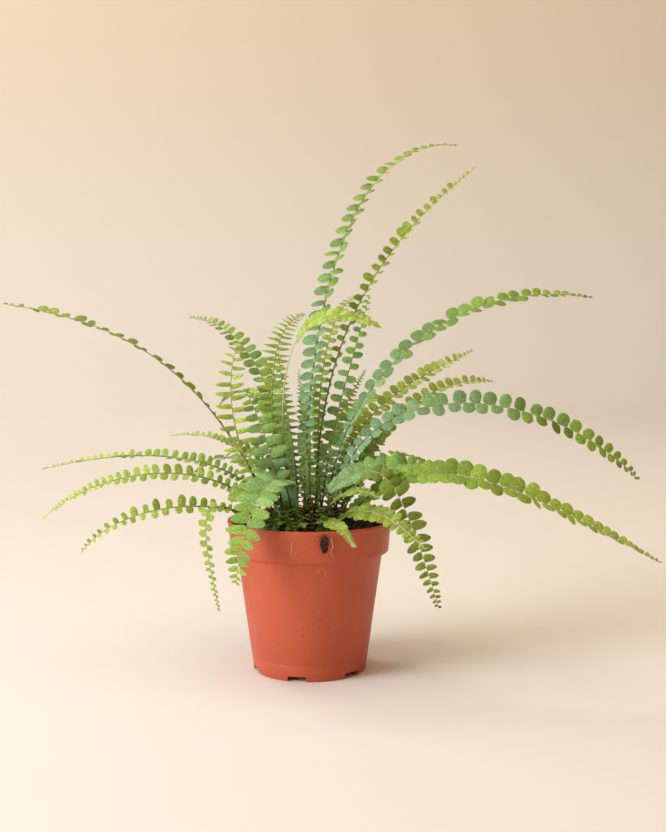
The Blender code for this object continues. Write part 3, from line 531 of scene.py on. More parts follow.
def pot_material():
    """Moulded polypropylene: an even warm red-brown with a satin skin, dulled and scratched by handling,
    a little dust from the mix at the rim, darkened inside nearly to black-brown."""
    material, tree, shader = new_material("Polypropylene, injection moulded", 0.42, 1.49)
    where = node(tree, "ShaderNodeTexCoord")
    base = tuple(settings().pot.colour)
    # clouding about 30 mm across
    cloud = node(tree, "ShaderNodeTexNoise", {"Scale": 34.0, "Detail": 4.0},
                 {"Vector": where.outputs["Object"]})
    tint = node(tree, "ShaderNodeMapRange", {1: 0.3, 2: 0.7, 3: 0.0, 4: 1.0}, {0: cloud.outputs[0]})
    body = node(tree, "ShaderNodeMix", {**MIX, 6: (*base, 1), 7: (*[c * 0.90 for c in base], 1)},
                {0: tint.outputs[0]})
    # scratches: long thin cells, about a millimetre apart
    stretch = node(tree, "ShaderNodeMapping", {"Rotation": (0.3, 0.2, 0.9), "Scale": (60.0, 60.0, 420.0)},
                   {"Vector": where.outputs["Object"]})
    lines = node(tree, "ShaderNodeTexVoronoi", {"feature": "DISTANCE_TO_EDGE", "Scale": 1.0},
                 {"Vector": stretch.outputs[0]})
    thin = node(tree, "ShaderNodeMapRange", {1: 0.0, 2: 0.012, 3: 1.0, 4: 0.0}, {0: lines.outputs[0]})
    patch = node(tree, "ShaderNodeTexNoise", {"Scale": 90.0, "Detail": 2.0},
                 {"Vector": where.outputs["Object"]})
    worn = node(tree, "ShaderNodeMapRange", {1: 0.60, 2: 0.72, 3: 0.0, 4: 0.55}, {0: patch.outputs[0]})
    scratch = node(tree, "ShaderNodeMath", {"operation": "MULTIPLY"},
                   {0: thin.outputs[0], 1: worn.outputs[0]})
    marked = node(tree, "ShaderNodeMix", {**MIX, 7: (*linear("EBB59C"), 1)},
                  {0: scratch.outputs[0], 6: body.outputs[2]})
    # grains of mix and pinholes, about a millimetre across and few
    grains = node(tree, "ShaderNodeTexVoronoi", {"Scale": 120.0}, {"Vector": where.outputs["Object"]})
    grain = node(tree, "ShaderNodeMapRange", {1: 0.045, 2: 0.075, 3: 0.7, 4: 0.0}, {0: grains.outputs[0]})
    specked = node(tree, "ShaderNodeMix", {**MIX, 7: (*linear("6B3A26"), 1)},
                   {0: grain.outputs[0], 6: marked.outputs[2]})
    colour = specked.outputs[2]
    # single scratches and spots on the front, each a narrow ellipse on the wall
    for x, z, turn, long, broad, hexed, strength in POT_MARKS:
        laid = node(tree, "ShaderNodeMapping", {
            "vector_type": "TEXTURE", "Location": (x * MM, POT_LOW.y * 0.9, z * MM),
            "Rotation": (0, math.radians(-turn), 0), "Scale": (long * MM, 0.02, broad * MM)},
            {"Vector": where.outputs["Object"]})
        away = node(tree, "ShaderNodeVectorMath", {"operation": "LENGTH"}, {0: laid.outputs[0]})
        mark = node(tree, "ShaderNodeMapRange", {1: 0.4, 2: 1.0, 3: strength, 4: 0.0},
                    {0: away.outputs["Value"]})
        colour = node(tree, "ShaderNodeMix", {**MIX, 7: (*linear(hexed), 1)},
                      {0: mark.outputs[0], 6: colour}).outputs[2]
    # the inside is darkened in patches nearly to black-brown
    inside = node(tree, "ShaderNodeAttribute", {"attribute_name": "inside"})
    inside_darkness = node(tree, "ShaderNodeMapRange", {1: 0.25, 2: 0.75, 3: 0.70, 4: 0.98}, {0: patch.outputs[0]})
    inside_darkening = node(tree, "ShaderNodeMath", {"operation": "MULTIPLY"},
                   {0: inside_darkness.outputs[0], 1: inside.outputs["Fac"]})
    darkened_inside = node(tree, "ShaderNodeMix", {**MIX, 7: (*linear("2C1C14"), 1)},
                 {0: inside_darkening.outputs[0], 6: colour})
    tree.links.new(darkened_inside.outputs[2], shader.inputs["Base Color"])
    rough = node(tree, "ShaderNodeMapRange", {1: 0.3, 2: 0.7, 3: 0.38, 4: 0.52}, {0: cloud.outputs[0]})
    tree.links.new(rough.outputs[0], shader.inputs["Roughness"])
    skin = node(tree, "ShaderNodeTexNoise", {"Scale": 900.0, "Detail": 2.0},
                {"Vector": where.outputs["Object"]})
    relief = node(tree, "ShaderNodeBump", {"Strength": 0.12, "Distance": 0.0003}, {"Height": skin.outputs[0]})
    tree.links.new(relief.outputs[0], shader.inputs["Normal"])
    return material


def rough_material(name, colours, grain, roughness, depth):
    """Dull, grainy stuff such as soil, bark or moss: colour stops spread by noise of that grain in mm."""
    material, tree, shader = new_material(name, roughness, 1.4)
    where = node(tree, "ShaderNodeTexCoord")
    noise = node(tree, "ShaderNodeTexNoise", {"Scale": 1000.0 / grain, "Detail": 5.0, "Roughness": 0.65},
                 {"Vector": where.outputs["Object"]})
    colour = node(tree, "ShaderNodeValToRGB", {"stops": colours}, {0: noise.outputs[0]})
    tree.links.new(colour.outputs[0], shader.inputs["Base Color"])
    relief = node(tree, "ShaderNodeBump", {"Strength": 0.7, "Distance": depth}, {"Height": noise.outputs[0]})
    tree.links.new(relief.outputs[0], shader.inputs["Normal"])
    return material


# ---------------------------------------------------------------- fronds


def model_leaflet(kind, droop, mirrored):
    """One leaflet, a sheet of unit length and breadth: a grid drawn in to its outline column by column,
    creased along its middle, domed, drooping at its end."""
    outline = OUTLINES[kind]
    columns = len(outline) - 1
    clear_selection()
    bpy.ops.mesh.primitive_grid_add(
        x_subdivisions=columns, y_subdivisions=LEAFLET_ROWS, size=1, location=(0.5, 0, 0))
    obj = bpy.context.object
    settle()
    for i, (place, ahead, behind) in enumerate(outline):
        x = i / columns
        pick(obj, lambda co: abs(co.x - x) < 0.02)
        # a finished column waits two units away, where no later pick can reach it
        bpy.ops.transform.resize(value=(1, ahead + behind, 1), center_override=(x, 0, 0))
        sink = -droop * max(0, place - 0.25) ** 2
        bpy.ops.transform.translate(value=(place - x + 2, (ahead - behind) / 2, sink))
    bpy.ops.mesh.select_all(action="SELECT")
    bpy.ops.transform.translate(value=(-2, 0, 0))
    middle = LEAFLET_ROWS // 2
    bpy.ops.object.mode_set(mode="OBJECT")
    stride = columns + 1
    for i, vertex in enumerate(obj.data.vertices):
        row = abs(i // stride - middle) / middle
        crown = 0.05 * math.sin(math.pi * min(1, max(0, vertex.co.x)))
        vertex.co.z += crown * (1.3 - row * row * 1.9 if row else 0.7)
        if row == 1 and (i % stride) % 2:
            vertex.co.y *= 0.965
    return finish_leaflet(obj, kind, mirrored)


def finish_leaflet(obj, kind, mirrored):
    """Gives the sheet its thickness, and marks the underside."""
    if mirrored:
        bpy.ops.object.mode_set(mode="EDIT")
        bpy.ops.mesh.select_all(action="SELECT")
        bpy.ops.transform.resize(value=(1, -1, 1), center_override=(0, 0, 0))
        bpy.ops.mesh.flip_normals()
        bpy.ops.object.mode_set(mode="OBJECT")
    count = len(obj.data.vertices)
    add_modifier(obj, "SOLIDIFY", thickness=LEAFLET_THICKNESS / USUAL_BREADTH, offset=0)
    levels = [vertex.co.z for vertex in obj.data.vertices]
    low = [float(levels[i] < levels[(i + count) % (2 * count)]) for i in range(2 * count)]
    store(obj, "below", low)
    bpy.ops.object.shade_smooth_by_angle(angle=math.radians(50))
    obj.name = "leaflet_" + kind
    return obj


def model_leaflets():
    return {
        (kind, mirrored): [model_leaflet(kind, droop, mirrored) for droop in LEAFLET_DROOPS]
        for kind in OUTLINES for mirrored in (False, True)
    }


def mat_top(x, y):
    """Height of the mound of rhizomes above the point."""
    share = math.hypot((x - MAT_MIDDLE.x) / MAT_HALF.x, (y - MAT_MIDDLE.y) / MAT_HALF.y)
    return SOIL_TOP + GAP + MAT_EDGE + MAT_HEIGHT * (1 - min(1.0, share) ** MAT_FALL)


def route_of(frond):
    """The four Bezier points of the midrib, and its level across direction."""
    heading = math.radians(frond.heading)
    out = Vector((math.cos(heading), math.sin(heading), 0))
    across = Vector((-math.sin(heading), math.cos(heading), 0))
    lean_root, lean_tip = map(math.radians, frond.leans)
    x, y = frond.root[0] * MM, frond.root[1] * MM
    root = Vector((x, y, mat_top(x, y) - 0.001))
    tip = root + MM * (frond.reach * out + frond.rise * UP + frond.sway * across)
    chord = math.hypot(frond.reach, frond.rise) * MM
    early = root + frond.pulls[0] * chord * (math.sin(lean_root) * out + math.cos(lean_root) * UP)
    late = tip - frond.pulls[1] * chord * (math.sin(lean_tip) * out + math.cos(lean_tip) * UP)
    late -= 0.5 * frond.sway * MM * across
    return (root, early, late, tip), across


def curve_points(route):
    root, early, late, tip = route
    points = []
    for i in range(CURVE_SAMPLES + 1):
        t = i / CURVE_SAMPLES
        u = 1 - t
        points.append(u ** 3 * root + 3 * t * u * u * early + 3 * t * t * u * late + t ** 3 * tip)
    return points


def lengths_along(points):
    """Share of the whole length that lies before each point, and the whole length."""
    passed = [0.0]
    for here, there in zip(points, points[1:]):
        passed.append(passed[-1] + (there - here).length)
    return [p / passed[-1] for p in passed], passed[-1]


def station(points, shares, share):
    """Point and direction at that share of the length."""
    i = 0
    while i < len(points) - 2 and shares[i + 1] < share:
        i += 1
    part = (share - shares[i]) / (shares[i + 1] - shares[i])
    step = points[i + 1] - points[i]
    return points[i] + step * part, step.normalized()


def blade_share(place, taper):
    """Leaflet size along the blade: small at its start, soon full, tiny at the tip."""
    start = min(1.0, 0.42 + 1.7 * place)
    late = max(0.0, (place - 0.25) / 0.75)
    return start * (1 - 0.82 * late ** taper)


def blade_places(frond, length):
    """Where the leaflet pairs stand, as shares of the blade: as close together as their size asks."""
    places = [0.0]
    while places[-1] < 1:
        room = 0.18 + 0.82 * blade_share(places[-1], frond.taper)
        room *= between(SPREAD.get(frond.name, (1, 1)), places[-1])
        places.append(places[-1] + frond.pitch * MM / length * room)
    return [place / places[-1] for place in places]


def between(values, place):
    """The value at a place from 0 to 1 along evenly spaced values."""
    reach = place * (len(values) - 1)
    i = min(int(reach), len(values) - 2)
    return values[i] + (values[i + 1] - values[i]) * (reach - i)


def model_midrib(frond, route, points, shares):
    """A Bezier curve set on the frond's four points, bevelled to a tapering rod and made a mesh."""
    clear_selection()
    bpy.ops.curve.primitive_bezier_curve_add()
    obj = bpy.context.object
    obj.data.dimensions = "3D"
    obj.data.resolution_u = 30
    obj.data.bevel_depth = STALK_RADIUS if frond.half > 5 else STALK_RADIUS * 0.5
    obj.data.bevel_resolution = 2
    obj.data.use_fill_caps = True
    first, last = obj.data.splines[0].bezier_points
    root, early, late, tip = route
    for point, place, before, after, radius in (
        (first, root, root * 2 - early, early, 1.0),
        (last, tip, late, tip * 2 - late, TIP_RADIUS_SHARE),
    ):
        point.handle_left_type = point.handle_right_type = "FREE"
        point.co = place
        point.handle_left = before
        point.handle_right = after
        point.radius = radius
    obj.location = (0, 0, 0)
    obj.rotation_euler = (0, 0, 0)
    bpy.ops.object.convert(target="MESH")
    obj = bpy.context.object
    outward(obj)
    bpy.ops.object.shade_smooth()
    ages = []
    for vertex in obj.data.vertices:
        near = min(range(0, CURVE_SAMPLES + 1, 2), key=lambda i: (points[i] - vertex.co).length_squared)
        ages.append(shares[near])
    store(obj, "age", ages)
    store(obj, "tone", [frond.pale * min(1.0, max(0.0, 3 * age - 0.6)) * 0.8 for age in ages])
    store(obj, "below", [0.0] * len(ages))
    return obj


def lay_leaflets(frond, leaflets, points, shares, length, across, chance):
    """Copies of the leaflet in two rows along the blade, each with its own size, turn and age."""
    blade = 1 - frond.bare
    fill = settings().foliage.fill
    places = blade_places(frond, length * blade)
    made = []
    for here, there in zip(places, places[1:]):
        for row in (1, -1):
            place = here + (there - here) * (0.4 + 0.18 * row + chance.uniform(-0.08, 0.08))
            point, along = station(points, shares, frond.bare + blade * place)
            side = (across - across.dot(along) * along).normalized()
            above = along.cross(side)
            roll = math.radians(between(frond.roll, place))
            edge = (side * math.cos(roll) + above * math.sin(roll)) * row
            face = above * math.cos(roll) - side * math.sin(roll)
            lift = math.radians(frond.lift + chance.gauss(0, 5))
            forward = math.radians(frond.forward + 18 * place ** 2 + chance.gauss(0, 5))
            twist = math.radians(chance.gauss(6, 8)) * row
            arm = math.cos(lift) * edge + math.sin(lift) * face
            arm = math.cos(forward) * arm + math.sin(forward) * along
            arm -= frond.light * arm.z * UP
            arm = (arm - 0.06 * UP).normalized()
            normal = math.cos(lift) * face - math.sin(lift) * edge + frond.light * UP
            normal = (normal - normal.dot(arm) * arm).normalized()
            normal = Matrix.Rotation(twist, 3, arm) @ normal
            wide = normal.cross(arm)
            share = blade_share(place, frond.taper) * between(SWELL.get(frond.name, (1, 1)), place)
            share *= 1 - UNEVEN.get(frond.name, 0.06) * chance.random()
            size = share * frond.half * MM * fill * chance.uniform(0.92, 1.06)
            broad = min(share * 1.08, 1) * frond.broad * MM * fill * chance.uniform(0.92, 1.06)
            matrix = Matrix((
                (arm.x * size, wide.x * broad, normal.x * size, point.x),
                (arm.y * size, wide.y * broad, normal.y * size, point.y),
                (arm.z * size, wide.z * broad, normal.z * size, point.z),
                (0, 0, 0, 1),
            ))
            # the leaflet's fuller edge looks toward the frond's tip on both rows
            mirrored = wide.dot(along) < 0
            source = chance.choice(leaflets[(frond.kind, mirrored)])
            age = frond.ages[0] + (frond.ages[1] - frond.ages[0]) * place ** 1.6
            age = min(1.0, max(0.0, age + chance.gauss(0, 0.04))) * YOUNGEST
            if frond.name in WITHERED and place > 0.97:
                age = 1.0
            # the frond's tone is painted light and shade on its leaflets, spread at random for their own
            # differences in tone
            tone = frond.tone * chance.uniform(0.78, 1.16)
            made.append(copy_of(source, matrix, age=age, tone=tone))
    return made


def slots_of_nodes():
    """The record's material slot of each node."""
    return {part["node"]: part["material_slot"] for part in frame["record"]["subparts"]}


def make_fronds():
    leaflets = model_leaflets()
    foliage = settings().foliage
    stops = (
        (0.0, tuple(foliage.mature)), (0.30, tuple(foliage.green)), (0.60, tuple(foliage.fresh)),
        (YOUNGEST, tuple(foliage.tip)), (1.0, tuple(foliage.dead)),
    )
    lamina = leaf_material("Fern lamina, waxy and veined", stops)
    stalk = stalk_material()
    for number, frond in enumerate(FRONDS):
        chance = random.Random(100 + number)
        route, across = route_of(frond)
        points = curve_points(route)
        shares, length = lengths_along(points)
        midrib = model_midrib(frond, route, points, shares)
        dress(midrib, stalk)
        blades = lay_leaflets(frond, leaflets, points, shares, length, across, chance)
        for blade in blades:
            dress(blade, lamina)
        name = frond.name.replace("frond_", "fern_").replace("young_fern", "fern_young")
        piece = join(name, [midrib, *blades])
        hand_over(piece, NODE_SLOTS[frond.name], frond.name)
    for sources in leaflets.values():
        discard(*sources)


# ---------------------------------------------------------------- pot


def body_radius(z):
    """Outer radius of the pot's tapered wall at a height."""
    return FOOT_RADIUS + (BODY_TOP_RADIUS - FOOT_RADIUS) * z / COLLAR_FOOT_Z


def make_pot():
    wall = POT_WALL
    rim = POT_HIGH.x
    top = POT_HIGH.z
    lip = top - LIP_HEIGHT
    ring = RING_Z
    section = (
        (rim - 0.0004, lip - 0.0001), (rim - 0.0001, lip + 0.0005), (rim, lip + 0.0012),
        (rim - 0.0001, top - 0.0007), (rim - 0.0004, top - 0.0002), (rim - 0.0009, top),
        (rim - 0.0014, top - 0.0002), (rim - 0.0018, top - 0.0008), (0.0593 - wall - 0.0002, lip),
        (0.0575 - wall, 0.0889), (0.0575 - wall - 0.0004, 0.0886), (body_radius(0.0860) - wall, 0.0862),
        (body_radius(0.0850) - wall, 0.0850), (body_radius(0.0075) - wall, 0.0075),
        (0.0391, 0.0045), (0.0262, 0.0045), (0.0246, 0.0016), (0, 0.0016),
    )
    outside = (
        (rim - 0.0004, lip - 0.0001), (0.0593, lip - 0.0004), (0.0591, lip - 0.0030), (0.0584, 0.0990),
        (0.0577, 0.0900), (0.05750, 0.0880), (0.0573, 0.0875), (0.0568, 0.0872), (0.0537, 0.0871),
        (0.0532, 0.0867), (0.05295, 0.0861), (body_radius(0.0700), 0.0700), (body_radius(0.0400), 0.0400),
        (body_radius(ring + 0.0007), ring + 0.0007), (body_radius(ring) - 0.0003, ring),
        (body_radius(ring - 0.0007), ring - 0.0007), (body_radius(0.0008), 0.0008),
        (0.0407, 0.0002), (0.0402, 0.0), (0.0375, 0.0), (0.0371, 0.0026), (0.0267, 0.0028),
        (0.0261, 0.0002), (0.0256, 0.0), (0, 0.0),
    )
    inner = turned("inside", section, POT_SIDES)
    # the lip's outside and the seam ring are left out of the darker inside
    within = [v.co.xy.length < rim - 0.0015 and v.co.z < lip + 0.0006 for v in inner.data.vertices]
    store(inner, "inside", [float(found) for found in within])
    outer = turned("outside", outside, POT_SIDES)
    store(outer, "inside", [0.0] * len(outer.data.vertices))
    pot = join("fern_pot", [outer, inner])
    outward(pot)
    for i in range(DRAIN_SLOTS):
        turn = Matrix.Rotation(math.radians(FIRST_SLOT + 360 / DRAIN_SLOTS * i), 4, "Z")
        clear_selection()
        bpy.ops.mesh.primitive_cube_add(size=1, location=(0, 0, 0))
        cutter = bpy.context.object
        cutter.data.transform(turn @ Matrix.Translation(SLOT_PLACE) @ Matrix.Diagonal((*SLOT_SIZE, 1)))
        make_active(cutter)
        add_modifier(cutter, "BEVEL", width=0.0006, segments=2)
        make_active(pot)
        add_modifier(pot, "BOOLEAN", operation="DIFFERENCE", solver="EXACT", object=cutter)
        discard(cutter)
    make_active(pot)
    bpy.ops.object.shade_smooth_by_angle(angle=math.radians(32))
    dress(pot, pot_material())
    hand_over(pot, NODE_SLOTS["nursery_pot"], "nursery_pot")


# ---------------------------------------------------------------- growing mix, rhizomes, moss


def roughen(obj, strength, grain, depth=3, group=""):
    """Moves the active object's surface, or one group of it, in and out by clouds of that grain in metres."""
    clouds = bpy.data.textures.new("clouds", "CLOUDS")
    clouds.noise_scale = grain
    clouds.noise_depth = depth
    add_modifier(obj, "DISPLACE", texture=clouds, strength=strength, mid_level=0.5, texture_coords="LOCAL",
                 vertex_group=group)
    bpy.data.textures.remove(clouds)


def model_lump(name, seed):
    """A crumb: a small ball pushed out of round."""
    clear_selection()
    bpy.ops.mesh.primitive_ico_sphere_add(subdivisions=2, radius=1)
    obj = bpy.context.object
    obj.name = name
    chance = random.Random(seed)
    for _ in range(5):
        way = Vector([chance.gauss(0, 1) for _ in range(3)]).normalized()
        pick(obj, lambda co: co.dot(way) > 0.55)
        bpy.ops.transform.translate(value=way * chance.uniform(-0.35, 0.15))
    bpy.ops.object.mode_set(mode="OBJECT")
    return obj


def scatter(sources, places, chance):
    """Copies of the sources at (place, size, squash), each turned at random."""
    made = []
    for place, size, squash in places:
        turn = Matrix.Rotation(chance.uniform(0, math.tau), 4, "Z")
        tilt = Matrix.Rotation(chance.uniform(-0.9, 0.9), 4, "X")
        shape = Matrix.Diagonal((size, size * chance.uniform(0.6, 1.0), size * squash, 1))
        made.append(copy_of(chance.choice(sources), Matrix.Translation(place) @ turn @ tilt @ shape))
    return made


def model_strand(name, places, radius, tip_share=0.5):
    """A thin strand through the places: a curve with a bevel, made a mesh."""
    data = bpy.data.curves.new(name, "CURVE")
    data.dimensions = "3D"
    data.bevel_depth = radius
    data.bevel_resolution = 1
    data.use_fill_caps = True
    data.resolution_u = 4
    spline = data.splines.new("NURBS")
    spline.points.add(len(places) - 1)
    for i, (point, place) in enumerate(zip(spline.points, places)):
        point.co = (*place, 1)
        point.radius = 1 + (tip_share - 1) * i / (len(places) - 1)
    spline.use_endpoint_u = True
    spline.order_u = 3
    obj = bpy.data.objects.new(name, data)
    bpy.context.scene.collection.objects.link(obj)
    make_active(obj)
    bpy.ops.object.convert(target="MESH")
    obj = bpy.context.object
    outward(obj)
    bpy.ops.object.shade_smooth()
    return obj


def make_soil():
    chance = random.Random(7)
    top = SOIL_TOP - 0.0012
    edge = SOIL_HIGH.x
    section = [
        (0, 0.0049), (0.0388, 0.0049), (body_radius(0.0078) - 0.0024, 0.0080),
        (body_radius(0.0860) - 0.0024, 0.0858), (0.0548, 0.0893), (edge - 0.0002, top - 0.0015),
        (edge - 0.0004, top + 0.0004),
    ]
    section += [(edge * (1 - i / 15), top) for i in range(1, 15)] + [(0, top)]
    soil = turned("soil", section, 96)
    group = soil.vertex_groups.new(name="top")
    upper = [v.index for v in soil.data.vertices if v.co.z > top - 0.0002 and v.co.xy.length < edge - 0.001]
    group.add(upper, 1.0, "REPLACE")
    make_active(soil)
    roughen(soil, 0.0042, 0.006, 4, "top")
    lumps = [model_lump(f"lump_{i}", i) for i in range(3)]
    places = []
    for _ in range(settings().ground.crumbs):
        angle = chance.uniform(0, math.tau)
        radius = edge * math.sqrt(chance.uniform(0.25, 0.97))
        size = chance.choice((0.0005, 0.0008, 0.0008, 0.0012, 0.0019))
        level = top + chance.uniform(0, 0.0012)
        places.append((Vector((radius * math.cos(angle), radius * math.sin(angle), level)), size, 0.7))
    crumbs = scatter(lumps, places, chance)
    discard(*lumps)
    mix = rough_material("Peat mix, damp and crumbled", (
        (0.30, linear("0E0907")), (0.52, linear("241811")),
        (0.70, linear("3E2B1E")), (0.86, linear("5A4430"))), 2.2, 0.92, 0.0008)
    fibre = rough_material("Dead root fibre", (
        (0.3, linear("4A3420")), (0.7, linear("8C6C46"))), 1.0, 0.8, 0.0002)
    strands = []
    for i in range(settings().ground.fibres):
        angle = chance.uniform(-1.9, 0.9) if i % 3 else chance.uniform(0, math.tau)
        radius = edge * math.sqrt(chance.uniform(0.35, 0.86))
        here = Vector((radius * math.cos(angle), radius * math.sin(angle), top + 0.0008))
        way = chance.uniform(0, math.tau)
        run = []
        for _ in range(5):
            run.append(here.copy())
            way += chance.gauss(0, 0.5)
            step = Vector((math.cos(way), math.sin(way), chance.uniform(-0.25, 0.35)))
            here += step * chance.uniform(0.0015, 0.0040)
            if here.xy.length > edge - 0.001:
                break
        if len(run) > 2:
            strands.append(model_strand("fibre", run, chance.uniform(0.00013, 0.00032)))
    for obj in (soil, *crumbs):
        dress(obj, mix)
    for obj in strands:
        dress(obj, fibre)
    piece = join("fern_growing_mix", [soil, *crumbs, *strands])
    hand_over(piece, NODE_SLOTS["potting_soil"], "potting_soil")


def make_rhizomes():
    """A low mound of crowded rhizomes with the bases of old stalks and chaffy scales on it."""
    chance = random.Random(21)
    clear_selection()
    bpy.ops.mesh.primitive_uv_sphere_add(segments=64, ring_count=24, radius=1)
    mound = bpy.context.object
    bpy.ops.object.mode_set(mode="EDIT")
    bpy.ops.mesh.bisect(plane_co=(0, 0, 0), plane_no=(0, 0, 1), clear_inner=True, use_fill=True)
    bpy.ops.object.mode_set(mode="OBJECT")
    for vertex in mound.data.vertices:
        share = vertex.co.xy.length
        x = MAT_MIDDLE.x + vertex.co.x * MAT_HALF.x
        y = MAT_MIDDLE.y + vertex.co.y * MAT_HALF.y
        level = mat_top(x, y) - 0.0012 if vertex.co.z > 0.001 else MAT_LOW.z
        vertex.co = (x, y, level if share < 0.999 else min(level, MAT_LOW.z + 0.0006))
    make_active(mound)
    roughen(mound, 0.0026, 0.004)
    lumps = [model_lump(f"knot_{i}", 40 + i) for i in range(3)]
    places = []
    for _ in range(KNOTS):
        angle = chance.uniform(0, math.tau)
        share = math.sqrt(chance.uniform(0.02, 0.9))
        x = MAT_MIDDLE.x + MAT_HALF.x * share * math.cos(angle)
        y = MAT_MIDDLE.y + MAT_HALF.y * share * math.sin(angle)
        places.append((Vector((x, y, mat_top(x, y) - 0.0006)), chance.uniform(0.0008, 0.0019), 0.8))
    knots = scatter(lumps, places, chance)
    discard(*lumps)
    stubs = []
    for _ in range(STUBS):
        angle = chance.uniform(0, math.tau)
        share = math.sqrt(chance.uniform(0.05, 0.85))
        x = MAT_MIDDLE.x + MAT_HALF.x * share * math.cos(angle)
        y = MAT_MIDDLE.y + MAT_HALF.y * share * math.sin(angle)
        foot = Vector((x, y, mat_top(x, y) - 0.001))
        lean = Vector((chance.gauss(0, 0.5), chance.gauss(0, 0.5), 1)).normalized()
        height = chance.uniform(0.003, 0.011)
        bend = Vector((chance.gauss(0, 0.0008), chance.gauss(0, 0.0008), 0))
        run = (foot, foot + lean * height * 0.5 + bend, foot + lean * height)
        stubs.append(model_strand("stub", run, chance.uniform(0.0004, 0.0009), 0.7))
    bark = rough_material("Rhizome, brown and scaly", (
        (0.30, linear("1C1109")), (0.50, linear("3B2716")),
        (0.66, linear("5C4225")), (0.82, linear("7A6038"))), 1.6, 0.85, 0.0006)
    for obj in (mound, *knots, *stubs):
        dress(obj, bark)
    piece = join("fern_rhizomes", [mound, *knots, *stubs])
    hand_over(piece, NODE_SLOTS["rhizome_mat"], "rhizome_mat")


def model_sprig():
    """A moss shoot: a short cone with six pointed leaves drawn out of its sides."""
    clear_selection()
    bpy.ops.mesh.primitive_cone_add(vertices=6, radius1=0.30, radius2=0.05, depth=1, location=(0, 0, 0.5))
    obj = bpy.context.object
    settle()
    bpy.ops.object.mode_set(mode="EDIT")
    bpy.ops.mesh.select_mode(type="FACE")
    bpy.ops.mesh.select_all(action="DESELECT")
    bpy.ops.object.mode_set(mode="OBJECT")
    for face in obj.data.polygons:
        face.select = abs(face.normal.z) < 0.6
    bpy.ops.object.mode_set(mode="EDIT")
    bpy.ops.mesh.inset(thickness=0.03, use_individual=True)
    bpy.ops.mesh.extrude_faces_move(TRANSFORM_OT_shrink_fatten={"value": -0.45})
    bpy.ops.transform.resize(value=(1, 1, 0.25), center_override=(0, 0, 0.75))
    bpy.ops.object.mode_set(mode="OBJECT")
    outward(obj)
    return obj


def make_seedlings(chance):
    """Fern seedlings in the moss and before the mound: short curved stems with small round leaflets."""
    leaf = model_leaflet("young", LEAFLET_DROOPS[1], False)
    foliage = settings().foliage
    lamina = leaf_material("Seedling lamina, thin", (
        (0.0, linear("4E7030")), (0.5, tuple(foliage.green)), (1.0, tuple(foliage.fresh))))
    stalk = rough_material("Seedling stem", (
        (0.3, linear("4A4A20")), (0.7, linear("7A8440"))), 0.8, 0.6, 0.0001)
    made = []
    for _ in range(settings().ground.seedlings):
        x, y = chance.uniform(-0.036, 0.022), chance.uniform(-0.050, -0.006)
        if math.hypot(x, y) > SOIL_HIGH.x - 0.004:
            continue
        foot = Vector((x, y, mat_top(x, y) - 0.0008))
        heading = chance.uniform(0, math.tau)
        reach = Vector((math.cos(heading), math.sin(heading), 0)) * chance.uniform(0.002, 0.006)
        high = chance.uniform(0.008, 0.019)
        run = [foot + reach * (i / 6) ** 2 + UP * high * i / 6 for i in range(7)]
        stem = model_strand("seedling", run, 0.00032, 0.5)
        dress(stem, stalk)
        made.append(stem)
        age = chance.uniform(0.15, 0.65)
        for i in range(2, 7):
            for row in (1, -1):
                size = chance.uniform(0.0028, 0.0050) * (1.1 - 0.08 * i)
                turn = heading + row * math.radians(chance.uniform(60, 95))
                laid = (Matrix.Translation(run[i]) @ Matrix.Rotation(turn, 4, "Z")
                        @ Matrix.Rotation(math.radians(chance.uniform(-35, 10)), 4, "Y")
                        @ Matrix.Rotation(math.radians(chance.gauss(0, 25)), 4, "X"))
                laid @= Matrix.Diagonal((size, size * 0.85, size, 1))
                blade = copy_of(leaf, laid, age=age, tone=chance.uniform(0.7, 1.1))
                dress(blade, lamina)
                made.append(blade)
    discard(leaf)
    return made


def make_moss():
    chance = random.Random(33)
    sprig = model_sprig()
    middle = (MOSS_LOW + MOSS_HIGH) / 2
    half = (MOSS_HIGH - MOSS_LOW) / 2
    clear_selection()
    bpy.ops.mesh.primitive_uv_sphere_add(segments=32, ring_count=12, radius=1)
    pad = bpy.context.object
    bpy.ops.object.mode_set(mode="EDIT")
    bpy.ops.mesh.bisect(plane_co=(0, 0, 0), plane_no=(0, 0, 1), clear_inner=True, use_fill=True)
    bpy.ops.object.mode_set(mode="OBJECT")
    shape = Matrix.Diagonal((half.x * 0.94, half.y * 0.94, 0.0017, 1))
    pad.data.transform(Matrix.Translation((middle.x, middle.y, MOSS_LOW.z)) @ shape)
    roughen(pad, 0.0012, 0.003)
    shoots = []
    for _ in range(settings().ground.moss_shoots):
        angle = chance.uniform(0, math.tau)
        share = math.sqrt(chance.uniform(0, 0.96))
        level = MOSS_LOW.z + 0.0016 * math.sqrt(max(0.05, 1 - share * share)) - 0.0003
        x = middle.x + half.x * share * math.cos(angle)
        y = middle.y + half.y * share * math.sin(angle)
        size = chance.uniform(0.0009, 0.0018)
        tip = Matrix.Rotation(chance.gauss(0, 0.35), 4, "X") @ Matrix.Rotation(chance.gauss(0, 0.35), 4, "Y")
        shape = Matrix.Diagonal((size, size, size * 1.1, 1))
        shoots.append(copy_of(sprig, Matrix.Translation((x, y, level)) @ tip @ shape))
    discard(sprig)
    seedlings = make_seedlings(chance)
    green = rough_material("Cushion moss, damp", (
        (0.30, linear("2C3A12")), (0.50, linear("4E6A22")), (0.72, linear("7E9A3A"))), 1.4, 0.8, 0.0003)
    for obj in (pad, *shoots):
        dress(obj, green)
    piece = join("fern_moss", [pad, *shoots, *seedlings])
    hand_over(piece, NODE_SLOTS["moss_patch"], "moss_patch")


# ---------------------------------------------------------------- litter


